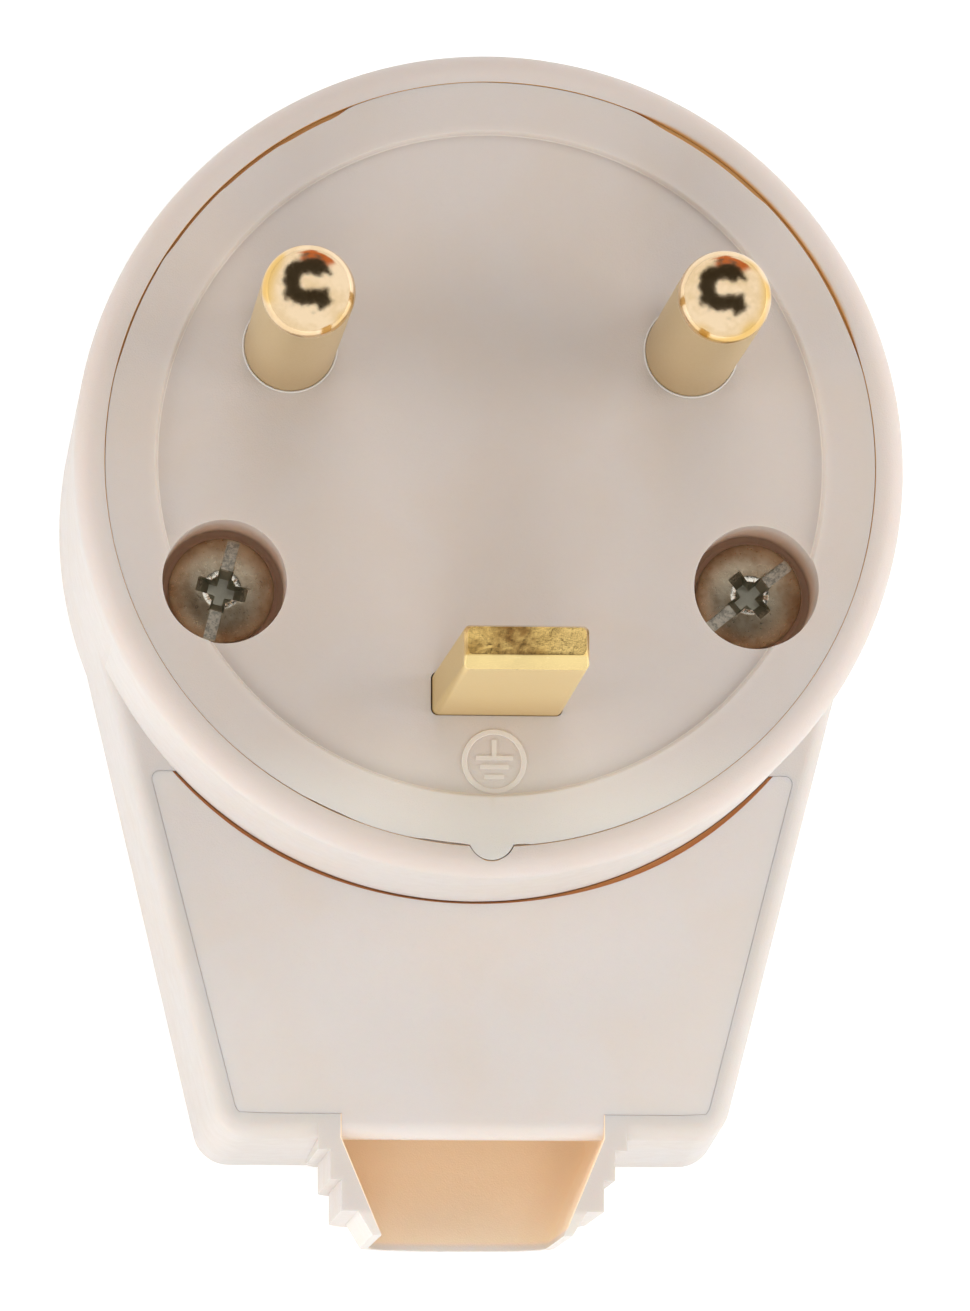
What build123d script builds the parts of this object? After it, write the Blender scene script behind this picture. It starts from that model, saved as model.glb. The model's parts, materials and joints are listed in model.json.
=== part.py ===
from build123d import *
import os
from math import acos, atan2, cos, degrees, hypot, radians, sin

os.makedirs("parts", exist_ok=True)

# Angled 20 A plug, lying on its back with its contacts pointing up, +Z.
# The origin is on the round body's axis, in the plane of the flat back.
# The arm that takes the cord points to -Y. All sizes are in millimetres.

# Round body
body_radius = 27.4
body_height = 35.0
body_wall = 2.0
floor_thickness = 2.2
rim_fillet = 1.5
back_fillet = 2.0

# Arm: its sides touch a circle just inside the round body and end in round corners
arm_side_inset = 0.3
arm_height = 19.3
arm_end = 43.3
arm_end_half_flat = 14.85
arm_corner_radius = 2.5
arm_end_draft = 0.7
arm_edge_fillet = 1.1
arm_wall = 2.7

# Arm cover and the pocket that it lies in
cover_frame = 1.6
cover_thickness = 2.0
cover_top = 19.0
cover_corner_radius = 1.2
cover_clearance = 0.1
cover_body_gap = 0.4
latch_x = 12.0
latch_width = 4.0
latch_thickness = 1.2
latch_length = 6.5
latch_hook_reach = 0.7
latch_hook_height = 1.6
tab_x = 9.0
tab_width = 5.0
tab_thickness = 1.2
tab_reach = 2.8
tab_root = 1.2

# Cord outlet: stepped rings outside, one tapered channel inside
outlet_ring_ends = (44.1, 46.1, 48.2)
outlet_ring_half_widths = (10.35, 9.55, 8.8)
outlet_lip_half_width = 7.85
outlet_lip_end_half_width = 6.7
outlet_end = 49.8
outlet_bottom = 0.3
outlet_bottom_step = 0.25
outlet_bottom_rise = 1.6
outlet_corner_radius = 4.2
channel_half_width = 8.8
channel_end_half_width = 6.1
channel_bottom_rise = 1.2
channel_corner_radius = 3.0
channel_reach = 0.5

# Face plate
face_gap = 0.12
face_relief = 0.1
face_relief_arcs = ((22.0, 64.0), (112.0, 178.0))
face_thickness = 3.5
skirt_wall = 1.5
skirt_depth = 4.5
seat_rib_angles = (20.0, 70.0, 110.0, 160.0)
seat_rib_depth = 1.8
seat_rib_width = 1.6
recess_inset = 3.4
recess_depth = 0.5
recess_slope = 40.0
key_radius = 1.5
key_reach = 1.0
key_clearance = 0.12

# Contacts, evenly spaced on one circle about the body's axis
contact_circle_radius = 15.3
right_contact_angle = 30.0
contact_spacing_angle = 120.0
pin_radius = 3.0
pin_length = 22.4
pin_crown_radius = 4.5
pin_edge_fillet = 1.4
pin_neck_radius = 2.5
pin_neck_rise = 0.1
pin_hole_clearance = 0.25
blade_width = 8.6
blade_tip_width = 7.9
blade_thickness = 2.8
blade_length = 23.7
blade_offset = 0.4
blade_tip_chamfer = 0.45
blade_slot_clearance = 0.12
flange_radius = 4.9
flange_thickness = 1.9
pillar_radius = 4.0
pillar_length = 15.0
pillar_chamfer = 0.5
wire_hole_radius = 2.3
wire_hole_rise = 5.0

# Pin retainer
retainer_thickness = 2.0
retainer_margin = 1.5
retainer_clearance = 0.1
retainer_boss_radius = 4.0
retainer_seat_gap = 0.05

# Housing screws, sunk in deep wells of the face plate
housing_screw_inset = 6.14
housing_screw_angle = 24.7
screw_well_radius = 4.1
screw_well_depth = 5.9
screw_well_wall = 1.2
screw_well_floor = 2.0
screw_boss_radius = 4.0
screw_boss_rib_width = 1.6
left_slot_angle = 76.0
right_slot_angle = 39.0

# Screws of each kind: shank, length under the head, and head
housing_shank_radius = 1.8
housing_screw_length = 18.0
housing_head_radius = 3.5
housing_head_height = 2.1
terminal_shank_radius = 1.95
terminal_screw_length = 3.2
terminal_head_radius = 3.2
terminal_head_height = 2.2
retainer_shank_radius = 1.5
retainer_screw_length = 5.2
retainer_head_radius = 2.8
retainer_head_height = 1.7
clamp_shank_radius = 1.5
clamp_screw_length = 8.5
clamp_head_radius = 2.8
clamp_head_height = 1.7
thread_clearance = 0.05
shank_clearance = 0.3
pilot_spare_depth = 1.0
retainer_spare_depth = 0.3

# Driver recesses: a slot in every screw, crossed by a tapered cross in the housing screws
slot_width = 0.8
slot_depth = 0.7
cross_length = 3.4
cross_width = 1.0
cross_depth = 1.4
cross_taper = 12.0

# Cord clamp
clamp_screw_x = 9.5
clamp_y = -33.0
clamp_boss_radius = 3.2
clamp_boss_height = 7.3
clamp_bar_width = 7.0
clamp_bar_thickness = 3.0
clamp_arch_radius = 9.0
clamp_arch_depth = 1.6
clamp_rib_height = 1.6
clamp_rib_width = 1.2
clamp_rib_spacing = 4.0

# Levels and radii worked out from the sizes above
body_bore_radius = body_radius - body_wall
arm_side_radius = body_radius - arm_side_inset
face_radius = body_bore_radius - face_gap
recess_radius = body_bore_radius - recess_inset
face_back = body_height - face_thickness
skirt_end = face_back - skirt_depth
recess_floor = body_height - recess_depth
flange_bottom = face_back - flange_thickness
retainer_bottom = flange_bottom - retainer_thickness
pillar_bottom = flange_bottom - pillar_length
wire_hole_level = pillar_bottom + wire_hole_rise
screw_well_outside = screw_well_radius + screw_well_wall
screw_seat = recess_floor - screw_well_depth
screw_well_end = screw_seat - screw_well_floor
clamp_seat = floor_thickness + clamp_boss_height
cover_bottom = arm_height - cover_thickness
end_wall_inside = arm_end - arm_wall
key_place = (0, key_radius - face_radius - key_reach)
contact_angles = {
    "right": right_contact_angle,
    "left": right_contact_angle + contact_spacing_angle,
    "earth": right_contact_angle + 2 * contact_spacing_angle,
}
contact_places = {
    name: (contact_circle_radius * cos(radians(angle)), contact_circle_radius * sin(radians(angle)))
    for name, angle in contact_angles.items()
}
housing_screw_circle = body_bore_radius - housing_screw_inset
housing_screw_x = housing_screw_circle * cos(radians(housing_screw_angle))
housing_screw_y = -housing_screw_circle * sin(radians(housing_screw_angle))
housing_screw_places = {
    "left": (-housing_screw_x, housing_screw_y),
    "right": (housing_screw_x, housing_screw_y),
}
slot_angles = {"left": left_slot_angle, "right": right_slot_angle}
clamp_screw_places = {"left": (-clamp_screw_x, clamp_y), "right": (clamp_screw_x, clamp_y)}


# Arm outline in plan: its end stands out a little further at the back than at the front
def arm_outline(level, draft):
    with BuildSketch(Plane.XY.offset(level)) as outline:
        Circle(arm_side_radius)
        with Locations((0, arm_corner_radius - arm_end - draft)):
            with GridLocations(2 * (arm_end_half_flat + draft), 0, 2, 1):
                Circle(arm_corner_radius)
        make_hull()
    return outline.sketch


# Section of a trough, open at the top, at a distance from the axis towards the arm's end
def trough_section(reach, half_width, bottom, bottom_rise, corner_radius):
    with BuildSketch(Plane.XZ.offset(reach)) as section:
        with BuildLine():
            Polyline(
                (half_width, bottom + bottom_rise),
                (half_width, arm_height),
                (-half_width, arm_height),
                (-half_width, bottom + bottom_rise),
            )
            ThreePointArc(
                (-half_width, bottom + bottom_rise),
                (0, bottom),
                (half_width, bottom + bottom_rise),
            )
        make_face()
        fillet(section.vertices().group_by(Axis.Y)[0], corner_radius)
    return section.sketch


# Cavity of the arm below the cover
with BuildSketch() as arm_cavity:
    add(arm_outline(0, 0))
    offset(amount=-arm_wall, mode=Mode.REPLACE)

# Pocket of the cover, cut off straight at the top and bounded there by the round body
with BuildSketch() as cover_pocket:
    add(arm_outline(0, 0))
    offset(amount=-cover_frame, mode=Mode.REPLACE)
    with Locations((0, -cover_top)):
        Rectangle(4 * body_radius, 2 * arm_end, align=(Align.CENTER, Align.MAX), mode=Mode.INTERSECT)
    fillet(cover_pocket.vertices().group_by(Axis.Y)[-1], cover_corner_radius)
    Circle(body_radius, mode=Mode.SUBTRACT)

# Cover: the pocket less its clearance, with a tongue that closes the end wall over the channel
with BuildSketch() as cover_outline:
    add(cover_pocket.sketch)
    offset(amount=-cover_clearance, mode=Mode.REPLACE)
    with Locations((0, -arm_end)):
        Rectangle(
            2 * (channel_half_width - cover_clearance),
            cover_frame + 2 * cover_clearance,
            align=(Align.CENTER, Align.MIN),
        )
    Circle(body_radius + cover_body_gap, mode=Mode.SUBTRACT)

# Arm as a solid block, rounded along its back and front edges
with BuildPart() as arm_block:
    loft([arm_outline(0, arm_end_draft), arm_outline(arm_height, 0)])
    fillet(arm_block.edges().group_by(Axis.Z)[0], back_fillet)
    fillet(arm_block.edges().group_by(Axis.Z)[-1], arm_edge_fillet)

# Outside of the cord outlet, ring by ring, each one smaller than the last
with BuildPart() as outlet_block:
    ring_start = end_wall_inside
    ring_bottom = outlet_bottom
    for ring_end, half_width in zip(outlet_ring_ends, outlet_ring_half_widths):
        ring = trough_section(ring_start, half_width, ring_bottom, outlet_bottom_rise, outlet_corner_radius)
        extrude(ring, amount=ring_end - ring_start)
        ring_start = ring_end
        ring_bottom += outlet_bottom_step
    lip_root = trough_section(
        ring_start, outlet_lip_half_width, ring_bottom, outlet_bottom_rise, outlet_corner_radius
    )
    lip_end = trough_section(
        outlet_end, outlet_lip_end_half_width, ring_bottom, outlet_bottom_rise, outlet_corner_radius
    )
    loft([lip_root, lip_end])

# Channel that the cord comes out of: straight through the end wall, then narrowing
with BuildPart() as cord_channel:
    # It starts inside the cavity, so that no skin is left between the two
    wall_section = trough_section(
        end_wall_inside - channel_reach, channel_half_width, floor_thickness, channel_bottom_rise, channel_corner_radius
    )
    extrude(wall_section, amount=arm_wall + channel_reach)
    channel_root = trough_section(
        arm_end, channel_half_width, floor_thickness, channel_bottom_rise, channel_corner_radius
    )
    channel_mouth = trough_section(
        outlet_end, channel_end_half_width, floor_thickness, channel_bottom_rise, channel_corner_radius
    )
    loft([channel_root, channel_mouth])

# Rear housing: round body, arm and cord outlet in one moulding
with BuildPart() as rear_housing:
    Cylinder(body_radius, body_height, align=(Align.CENTER, Align.CENTER, Align.MIN))
    fillet(rear_housing.edges().group_by(Axis.Z)[-1], rim_fillet)
    fillet(rear_housing.edges().group_by(Axis.Z)[0], back_fillet)
    add(arm_block.part)
    add(outlet_block.part)
    with BuildSketch(Plane.XY.offset(floor_thickness)):
        Circle(body_bore_radius)
    extrude(amount=body_height, mode=Mode.SUBTRACT)
    with BuildSketch(Plane.XY.offset(floor_thickness)):
        add(arm_cavity.sketch)
    extrude(amount=cover_bottom - floor_thickness, mode=Mode.SUBTRACT)
    with BuildSketch(Plane.XY.offset(cover_bottom)):
        add(cover_pocket.sketch)
    extrude(amount=arm_height, mode=Mode.SUBTRACT)
    add(cord_channel.part, mode=Mode.SUBTRACT)
    # Pocket for the face plate's key
    with BuildSketch(Plane.XY.offset(face_back)):
        with Locations(key_place):
            Circle(key_radius + key_clearance)
    extrude(amount=face_thickness, mode=Mode.SUBTRACT)
    # Ribs on the wall that the face plate's skirt stands on
    with BuildSketch(Plane.XY.offset(floor_thickness)):
        for angle in seat_rib_angles:
            with PolarLocations(body_bore_radius + (body_wall / 2 - seat_rib_depth) / 2, 1, start_angle=angle):
                Rectangle(seat_rib_depth + body_wall / 2, seat_rib_width)
    extrude(amount=skirt_end - floor_thickness)
    # Bosses of the housing screws, each tied to the wall by a rib
    with BuildSketch(Plane.XY.offset(floor_thickness)):
        for x, y in housing_screw_places.values():
            boss_reach = hypot(x, y)
            rib_end = body_bore_radius + body_wall / 2
            with Locations((x, y)):
                Circle(screw_boss_radius)
            with PolarLocations((boss_reach + rib_end) / 2, 1, start_angle=degrees(atan2(y, x))):
                Rectangle(rib_end - boss_reach, screw_boss_rib_width)
    extrude(amount=screw_well_end - floor_thickness)
    # Bosses and gripping ribs of the cord clamp
    with BuildSketch(Plane.XY.offset(floor_thickness)):
        with Locations(*clamp_screw_places.values()):
            Circle(clamp_boss_radius)
    extrude(amount=clamp_boss_height)
    with BuildSketch(Plane.XY.offset(floor_thickness)):
        with Locations((0, clamp_y)):
            with GridLocations(0, clamp_rib_spacing, 1, 2):
                Rectangle(2 * clamp_screw_x, clamp_rib_width)
    extrude(amount=clamp_rib_height)
    # Slots that the cover's hooks snap into
    with BuildSketch(Plane.XY.offset(cover_bottom - latch_length - cover_clearance)):
        with Locations((0, -end_wall_inside)):
            with GridLocations(2 * latch_x, 0, 2, 1):
                Rectangle(latch_width + 4 * cover_clearance, 2 * (latch_hook_reach + cover_clearance))
    extrude(amount=latch_hook_height + 2 * cover_clearance, mode=Mode.SUBTRACT)
    # Pilot holes
    with Locations(*[(x, y, screw_well_end) for x, y in housing_screw_places.values()]):
        Hole(
            housing_shank_radius + thread_clearance,
            depth=housing_screw_length - screw_well_floor + pilot_spare_depth,
        )
    with Locations(*[(x, y, clamp_seat) for x, y in clamp_screw_places.values()]):
        Hole(
            clamp_shank_radius + thread_clearance,
            depth=clamp_screw_length - clamp_bar_thickness + pilot_spare_depth,
        )
rear_housing.part.label = "rear_housing"
export_step(rear_housing.part, "parts/rear_housing.step")

# Arm cover, held by two tabs under the round body's wall and two hooks at the end wall
with BuildPart() as arm_cover:
    with BuildSketch(Plane.XY.offset(cover_bottom)):
        add(cover_outline.sketch)
    extrude(amount=cover_thickness)
    tongue_edges = arm_cover.edges().filter_by(Axis.X).group_by(Axis.Y)[0]
    fillet(tongue_edges.sort_by(Axis.Z)[-1], arm_edge_fillet)
    tab_end = -body_radius - cover_body_gap - tab_root
    tab_top = cover_bottom - cover_clearance
    with BuildSketch(Plane.XY.offset(tab_top - tab_thickness)):
        with Locations((0, tab_end)):
            with GridLocations(2 * tab_x, 0, 2, 1):
                Rectangle(tab_width, tab_root + tab_reach, align=(Align.CENTER, Align.MIN))
    extrude(amount=tab_thickness)
    with BuildSketch(Plane.XY.offset(tab_top)):
        with Locations((0, tab_end)):
            with GridLocations(2 * tab_x, 0, 2, 1):
                Rectangle(tab_width, tab_root + tab_reach, align=(Align.CENTER, Align.MIN))
        Circle(body_radius + cover_body_gap, mode=Mode.SUBTRACT)
    extrude(amount=cover_clearance)
    latch_back = cover_clearance - end_wall_inside
    with BuildSketch(Plane.XY.offset(cover_bottom)):
        with Locations((0, latch_back)):
            with GridLocations(2 * latch_x, 0, 2, 1):
                Rectangle(latch_width, latch_thickness, align=(Align.CENTER, Align.MIN))
    extrude(amount=-latch_length)
    hook_bottom = cover_bottom - latch_length
    hook_planes = [Plane.YZ.offset(side * latch_x - latch_width / 2) for side in (-1, 1)]
    with BuildSketch(*hook_planes):
        with BuildLine():
            Polyline(
                (latch_back, hook_bottom),
                (latch_back - latch_hook_reach, hook_bottom + latch_hook_height),
                (latch_back, hook_bottom + latch_hook_height),
                close=True,
            )
        make_face()
    extrude(amount=latch_width)
arm_cover.part.label = "arm_cover"
export_step(arm_cover.part, "parts/arm_cover.step")

# Face plate: a disc with a shallow round recess, a skirt, and a deep well for each housing screw
with BuildPart() as face_plate:
    with BuildSketch(Plane.XY.offset(face_back)):
        Circle(face_radius)
        with Locations(key_place):
            Circle(key_radius)
    extrude(amount=face_thickness)
    with BuildSketch(Plane.XY.offset(skirt_end)):
        Circle(face_radius)
        Circle(face_radius - skirt_wall, mode=Mode.SUBTRACT)
    extrude(amount=skirt_depth)
    with BuildSketch(Plane.XY.offset(screw_well_end)):
        with Locations(*housing_screw_places.values()):
            Circle(screw_well_outside)
        Circle(face_radius, mode=Mode.INTERSECT)
    extrude(amount=face_back - screw_well_end)
    with BuildSketch(Plane.XY.offset(face_back)):
        Circle(retainer_boss_radius)
    extrude(amount=retainer_seat_gap - flange_thickness)
    # Two stretches of the rim are relieved, which leaves a wider gap to the housing
    with BuildSketch(Plane.XY.offset(skirt_end)):
        for start, end in face_relief_arcs:
            with BuildLine():
                inner = CenterArc((0, 0), face_radius - face_relief, start, end - start)
                outer = CenterArc((0, 0), body_radius, start, end - start)
                Line(inner @ 0, outer @ 0)
                Line(inner @ 1, outer @ 1)
            make_face()
    extrude(amount=body_height, mode=Mode.SUBTRACT)
    with BuildSketch(Plane.XY.offset(body_height)):
        Circle(recess_radius)
    extrude(amount=-recess_depth, taper=recess_slope, mode=Mode.SUBTRACT)
    with Locations(*[(x, y, body_height) for x, y in housing_screw_places.values()]):
        CounterBoreHole(
            housing_shank_radius + shank_clearance,
            screw_well_radius,
            body_height - screw_seat,
        )
    # Holes of the two pins and slot of the blade
    with BuildSketch(Plane.XY.offset(face_back)):
        with Locations(contact_places["left"], contact_places["right"]):
            Circle(pin_radius + pin_hole_clearance)
        with Locations(contact_places["earth"]):
            with Locations((blade_offset, 0)):
                Rectangle(
                    blade_width + 2 * blade_slot_clearance,
                    blade_thickness + 2 * blade_slot_clearance,
                )
    extrude(amount=face_thickness, mode=Mode.SUBTRACT)
    # Pilot hole of the retainer's screw
    with BuildSketch(Plane.XY.offset(retainer_bottom)):
        Circle(retainer_shank_radius + thread_clearance)
    extrude(amount=retainer_screw_length + retainer_spare_depth, mode=Mode.SUBTRACT)
face_plate.part.label = "face_plate"
export_step(face_plate.part, "parts/face_plate.step")

# Pin retainer: a plate that holds the three flanges against the back of the face plate
with BuildPart() as pin_retainer:
    with BuildSketch(Plane.XY.offset(retainer_bottom)):
        with Locations(*contact_places.values()):
            Circle(pillar_radius + retainer_margin)
        make_hull()
        with Locations(*contact_places.values()):
            Circle(pillar_radius + retainer_clearance, mode=Mode.SUBTRACT)
        with Locations(*housing_screw_places.values()):
            Circle(screw_well_outside + shank_clearance, mode=Mode.SUBTRACT)
        Circle(retainer_shank_radius + shank_clearance, mode=Mode.SUBTRACT)
    extrude(amount=retainer_thickness)
pin_retainer.part.label = "pin_retainer"
export_step(pin_retainer.part, "parts/pin_retainer.step")

# What the three contacts share, about their own axis: flange, pillar, wire hole and screw hole
with BuildPart() as contact_base:
    with BuildSketch(Plane.XZ):
        with BuildLine():
            Polyline(
                (0, pillar_bottom),
                (pillar_radius - pillar_chamfer, pillar_bottom),
                (pillar_radius, pillar_bottom + pillar_chamfer),
                (pillar_radius, flange_bottom),
                (flange_radius, flange_bottom),
                (flange_radius, face_back),
                (0, face_back),
                close=True,
            )
        make_face()
    revolve(axis=Axis.Z)
    with BuildSketch(Plane.XZ):
        with Locations((0, wire_hole_level)):
            Circle(wire_hole_radius)
    extrude(amount=2 * pillar_radius, both=True, mode=Mode.SUBTRACT)
    with BuildSketch(Plane.XY.offset(pillar_bottom)):
        Circle(terminal_shank_radius + thread_clearance)
    extrude(amount=wire_hole_rise, mode=Mode.SUBTRACT)

# Round pin about its own axis: a narrower neck in the plate's hole, and a rounded crown at the tip
with BuildPart() as round_pin:
    with BuildSketch(Plane.XZ) as pin_profile:
        with BuildLine():
            crown_edge_angle = degrees(acos(pin_radius / pin_crown_radius))
            crown = CenterArc(
                (0, recess_floor + pin_length - pin_crown_radius),
                pin_crown_radius,
                crown_edge_angle,
                90 - crown_edge_angle,
            )
            Polyline(
                crown @ 1,
                (0, face_back),
                (pin_neck_radius, face_back),
                (pin_neck_radius, recess_floor + pin_neck_rise),
                (pin_radius, recess_floor + pin_neck_rise),
                crown @ 0,
            )
        make_face()
        fillet(pin_profile.vertices().sort_by(Axis.Y)[-2], pin_edge_fillet)
    revolve(axis=Axis.Z)
    add(contact_base.part)

for side in ("left", "right"):
    with BuildPart() as pin:
        with Locations(contact_places[side]):
            add(round_pin.part)
    pin.part.label = f"{side}_pin"
    export_step(pin.part, f"parts/{side}_pin.step")

# Blade about its own axis, a little narrower at its tip, which is bevelled
with BuildPart() as flat_blade:
    with BuildSketch(Plane.XY.offset(face_back)):
        Rectangle(blade_width, blade_thickness)
    with BuildSketch(Plane.XY.offset(recess_floor + blade_length)):
        Rectangle(blade_tip_width, blade_thickness)
    loft()
    chamfer(flat_blade.edges().group_by(Axis.Z)[-1], blade_tip_chamfer)

with BuildPart() as earth_blade:
    with Locations(contact_places["earth"]):
        add(contact_base.part)
        with Locations((blade_offset, 0)):
            add(flat_blade.part)
earth_blade.part.label = "earth_blade"
export_step(earth_blade.part, "parts/earth_blade.step")


# Screw about its own axis: domed head upwards on the seat at zero, shank below
def screw_form(shank_radius, length, head_radius, head_height, with_cross):
    edge_height = head_height - slot_depth
    with BuildPart() as form:
        with BuildSketch(Plane.XZ):
            with BuildLine():
                crown = EllipticalCenterArc(
                    (0, edge_height), head_radius, slot_depth, start_angle=0, arc_size=90
                )
                Polyline(
                    crown @ 1,
                    (0, -length),
                    (shank_radius / 2, -length),
                    (shank_radius, shank_radius - length),
                    (shank_radius, 0),
                    (head_radius, 0),
                    crown @ 0,
                )
            make_face()
        revolve(axis=Axis.Z)
        with BuildSketch(Plane.XY.offset(head_height)):
            Rectangle(2 * head_radius, slot_width)
        extrude(amount=-slot_depth, mode=Mode.SUBTRACT)
        if with_cross:
            with BuildSketch(Plane.XY.offset(head_height)):
                Rectangle(cross_length, cross_width)
                Rectangle(cross_width, cross_length)
            extrude(amount=-cross_depth, taper=cross_taper, mode=Mode.SUBTRACT)
    return form.part


# Housing screws, driven from the front into the bosses
housing_screw_form = screw_form(
    housing_shank_radius, housing_screw_length, housing_head_radius, housing_head_height, True
)
for side, (x, y) in housing_screw_places.items():
    with BuildPart() as housing_screw:
        with Locations(Location((x, y, screw_seat), (0, 0, slot_angles[side]))):
            add(housing_screw_form)
    housing_screw.part.label = f"{side}_housing_screw"
    export_step(housing_screw.part, f"parts/{side}_housing_screw.step")

# Terminal screws, driven from the back towards the wire holes
terminal_screw_form = screw_form(
    terminal_shank_radius, terminal_screw_length, terminal_head_radius, terminal_head_height, False
)
for name, (x, y) in contact_places.items():
    with BuildPart() as terminal_screw:
        with Locations(Location((x, y, pillar_bottom), (180, 0, 0))):
            add(terminal_screw_form)
    terminal_screw.part.label = f"{name}_terminal_screw"
    export_step(terminal_screw.part, f"parts/{name}_terminal_screw.step")

# Retainer screw, driven from the back into the face plate's boss
retainer_screw_form = screw_form(
    retainer_shank_radius, retainer_screw_length, retainer_head_radius, retainer_head_height, False
)
with BuildPart() as retainer_screw:
    with Locations(Location((0, 0, retainer_bottom), (180, 0, 0))):
        add(retainer_screw_form)
retainer_screw.part.label = "retainer_screw"
export_step(retainer_screw.part, "parts/retainer_screw.step")

# Cord clamp: a round-ended bar, arched underneath, across the cord's way
with BuildPart() as cord_clamp:
    with BuildSketch(Plane.XY.offset(clamp_seat)):
        with Locations((0, clamp_y)):
            SlotCenterToCenter(2 * clamp_screw_x, clamp_bar_width)
        with Locations(*clamp_screw_places.values()):
            Circle(clamp_shank_radius + shank_clearance, mode=Mode.SUBTRACT)
    extrude(amount=clamp_bar_thickness)
    with BuildSketch(Plane.XZ.offset(-clamp_y)):
        with Locations((0, clamp_seat + clamp_arch_depth - clamp_arch_radius)):
            Circle(clamp_arch_radius)
    extrude(amount=clamp_bar_width, both=True, mode=Mode.SUBTRACT)
cord_clamp.part.label = "cord_clamp"
export_step(cord_clamp.part, "parts/cord_clamp.step")

# Clamp screws, driven from the front into the clamp's bosses
clamp_screw_form = screw_form(
    clamp_shank_radius, clamp_screw_length, clamp_head_radius, clamp_head_height, False
)
for side, (x, y) in clamp_screw_places.items():
    with BuildPart() as clamp_screw:
        with Locations((x, y, clamp_seat + clamp_bar_thickness)):
            add(clamp_screw_form)
    clamp_screw.part.label = f"{side}_clamp_screw"
    export_step(clamp_screw.part, f"parts/{side}_clamp_screw.step")
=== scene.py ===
import json
from math import acos, atan2, cos, exp, hypot, pi, radians, sin, sqrt

import bmesh
import bpy
from mathutils import Euler, Matrix, Vector

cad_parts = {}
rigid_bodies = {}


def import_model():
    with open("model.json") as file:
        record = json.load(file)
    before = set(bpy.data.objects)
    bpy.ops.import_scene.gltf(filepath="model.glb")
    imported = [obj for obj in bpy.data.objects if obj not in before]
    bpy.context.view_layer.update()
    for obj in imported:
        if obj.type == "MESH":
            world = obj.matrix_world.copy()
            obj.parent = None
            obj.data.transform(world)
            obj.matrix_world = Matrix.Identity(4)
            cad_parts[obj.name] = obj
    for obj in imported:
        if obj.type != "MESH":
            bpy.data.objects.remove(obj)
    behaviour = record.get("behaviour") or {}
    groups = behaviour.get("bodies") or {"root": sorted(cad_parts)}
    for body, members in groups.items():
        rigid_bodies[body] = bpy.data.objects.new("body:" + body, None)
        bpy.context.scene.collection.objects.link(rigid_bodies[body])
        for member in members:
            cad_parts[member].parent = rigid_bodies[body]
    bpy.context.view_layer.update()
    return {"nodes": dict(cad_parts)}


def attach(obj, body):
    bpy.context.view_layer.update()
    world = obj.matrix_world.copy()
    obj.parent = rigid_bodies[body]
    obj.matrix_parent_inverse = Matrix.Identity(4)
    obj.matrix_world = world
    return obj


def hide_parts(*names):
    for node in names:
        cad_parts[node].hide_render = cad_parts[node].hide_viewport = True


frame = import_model()
nodes = frame["nodes"]
metre = 0.001  # shapes are drawn in millimetres and brought to metres when they are finished
clearTop = 40  # a level above the housing and the face plate, for what cuts them
past = 1.0  # how far a cutter reaches beyond what it cuts
print("stage: frame loaded,", len(nodes), "CAD nodes")


def newObject(name, bm):
    bmesh.ops.remove_doubles(bm, verts=bm.verts, dist=1e-4)
    bmesh.ops.recalc_face_normals(bm, faces=bm.faces)
    mesh = bpy.data.meshes.new(name)
    bm.to_mesh(mesh)
    bm.free()
    piece = bpy.data.objects.new(name, mesh)
    bpy.context.scene.collection.objects.link(piece)
    return piece


def stackRings(name, rings):
    # closed form through a list of rings, each with the same number of points
    bm = bmesh.new()
    loops = [[bm.verts.new(point) for point in ring] for ring in rings]
    for low, high in zip(loops, loops[1:]):
        for i in range(len(low)):
            j = (i + 1) % len(low)
            bm.faces.new((low[i], low[j], high[j], high[i]))
    bm.faces.new(loops[0])
    bm.faces.new(loops[-1])
    return newObject(name, bm)


def lathe(name, profile, count, place=(0, 0), radiusAt=None, closed=False):
    # turns (radius, height) points about the Z axis; radiusAt may change a radius with the angle
    bm = bmesh.new()
    rows = []
    for radius, height in profile:
        if radius < 1e-6:
            rows.append([bm.verts.new((place[0], place[1], height))])
            continue
        row = []
        for i in range(count):
            angle = 2 * pi * i / count
            r = radiusAt(radius, height, angle) if radiusAt else radius
            row.append(bm.verts.new((place[0] + r * cos(angle), place[1] + r * sin(angle), height)))
        rows.append(row)
    for low, high in zip(rows, rows[1:] + rows[:1] if closed else rows[1:]):
        for i in range(count):
            j = (i + 1) % count
            ring = [low[i % len(low)], low[j % len(low)], high[j % len(high)], high[i % len(high)]]
            ring = [v for k, v in enumerate(ring) if v not in ring[:k]]
            if len(ring) > 2:
                bm.faces.new(ring)
    for row in (rows[0], rows[-1]):
        if len(row) > 1 and not closed:
            bm.faces.new(row)
    return newObject(name, bm)


def block(name, low, high):
    x0, y0, z0 = low
    x1, y1, z1 = high
    ring = [(x0, y0), (x1, y0), (x1, y1), (x0, y1)]
    return stackRings(name, [[(x, y, z) for x, y in ring] for z in (z0, z1)])


def roundEdge(radius, centre, start, end, steps):
    # (radius, height) points of a rounded edge in a lathe's profile, angles in degrees
    return [
        (
            centre[0] + radius * cos(radians(start + (end - start) * i / steps)),
            centre[1] + radius * sin(radians(start + (end - start) * i / steps)),
        )
        for i in range(steps + 1)
    ]


def roundedSection(z, halfX, halfY, corner, cx, cy, steps=5):
    # level rectangle with round corners
    points = []
    for start, sx, sy in ((0, 1, 1), (90, -1, 1), (180, -1, -1), (270, 1, -1)):
        for i in range(steps + 1):
            a = radians(start + 90 * i / steps)
            points.append((cx + sx * (halfX - corner) + corner * cos(a),
                           cy + sy * (halfY - corner) + corner * sin(a), z))
    return points


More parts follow.
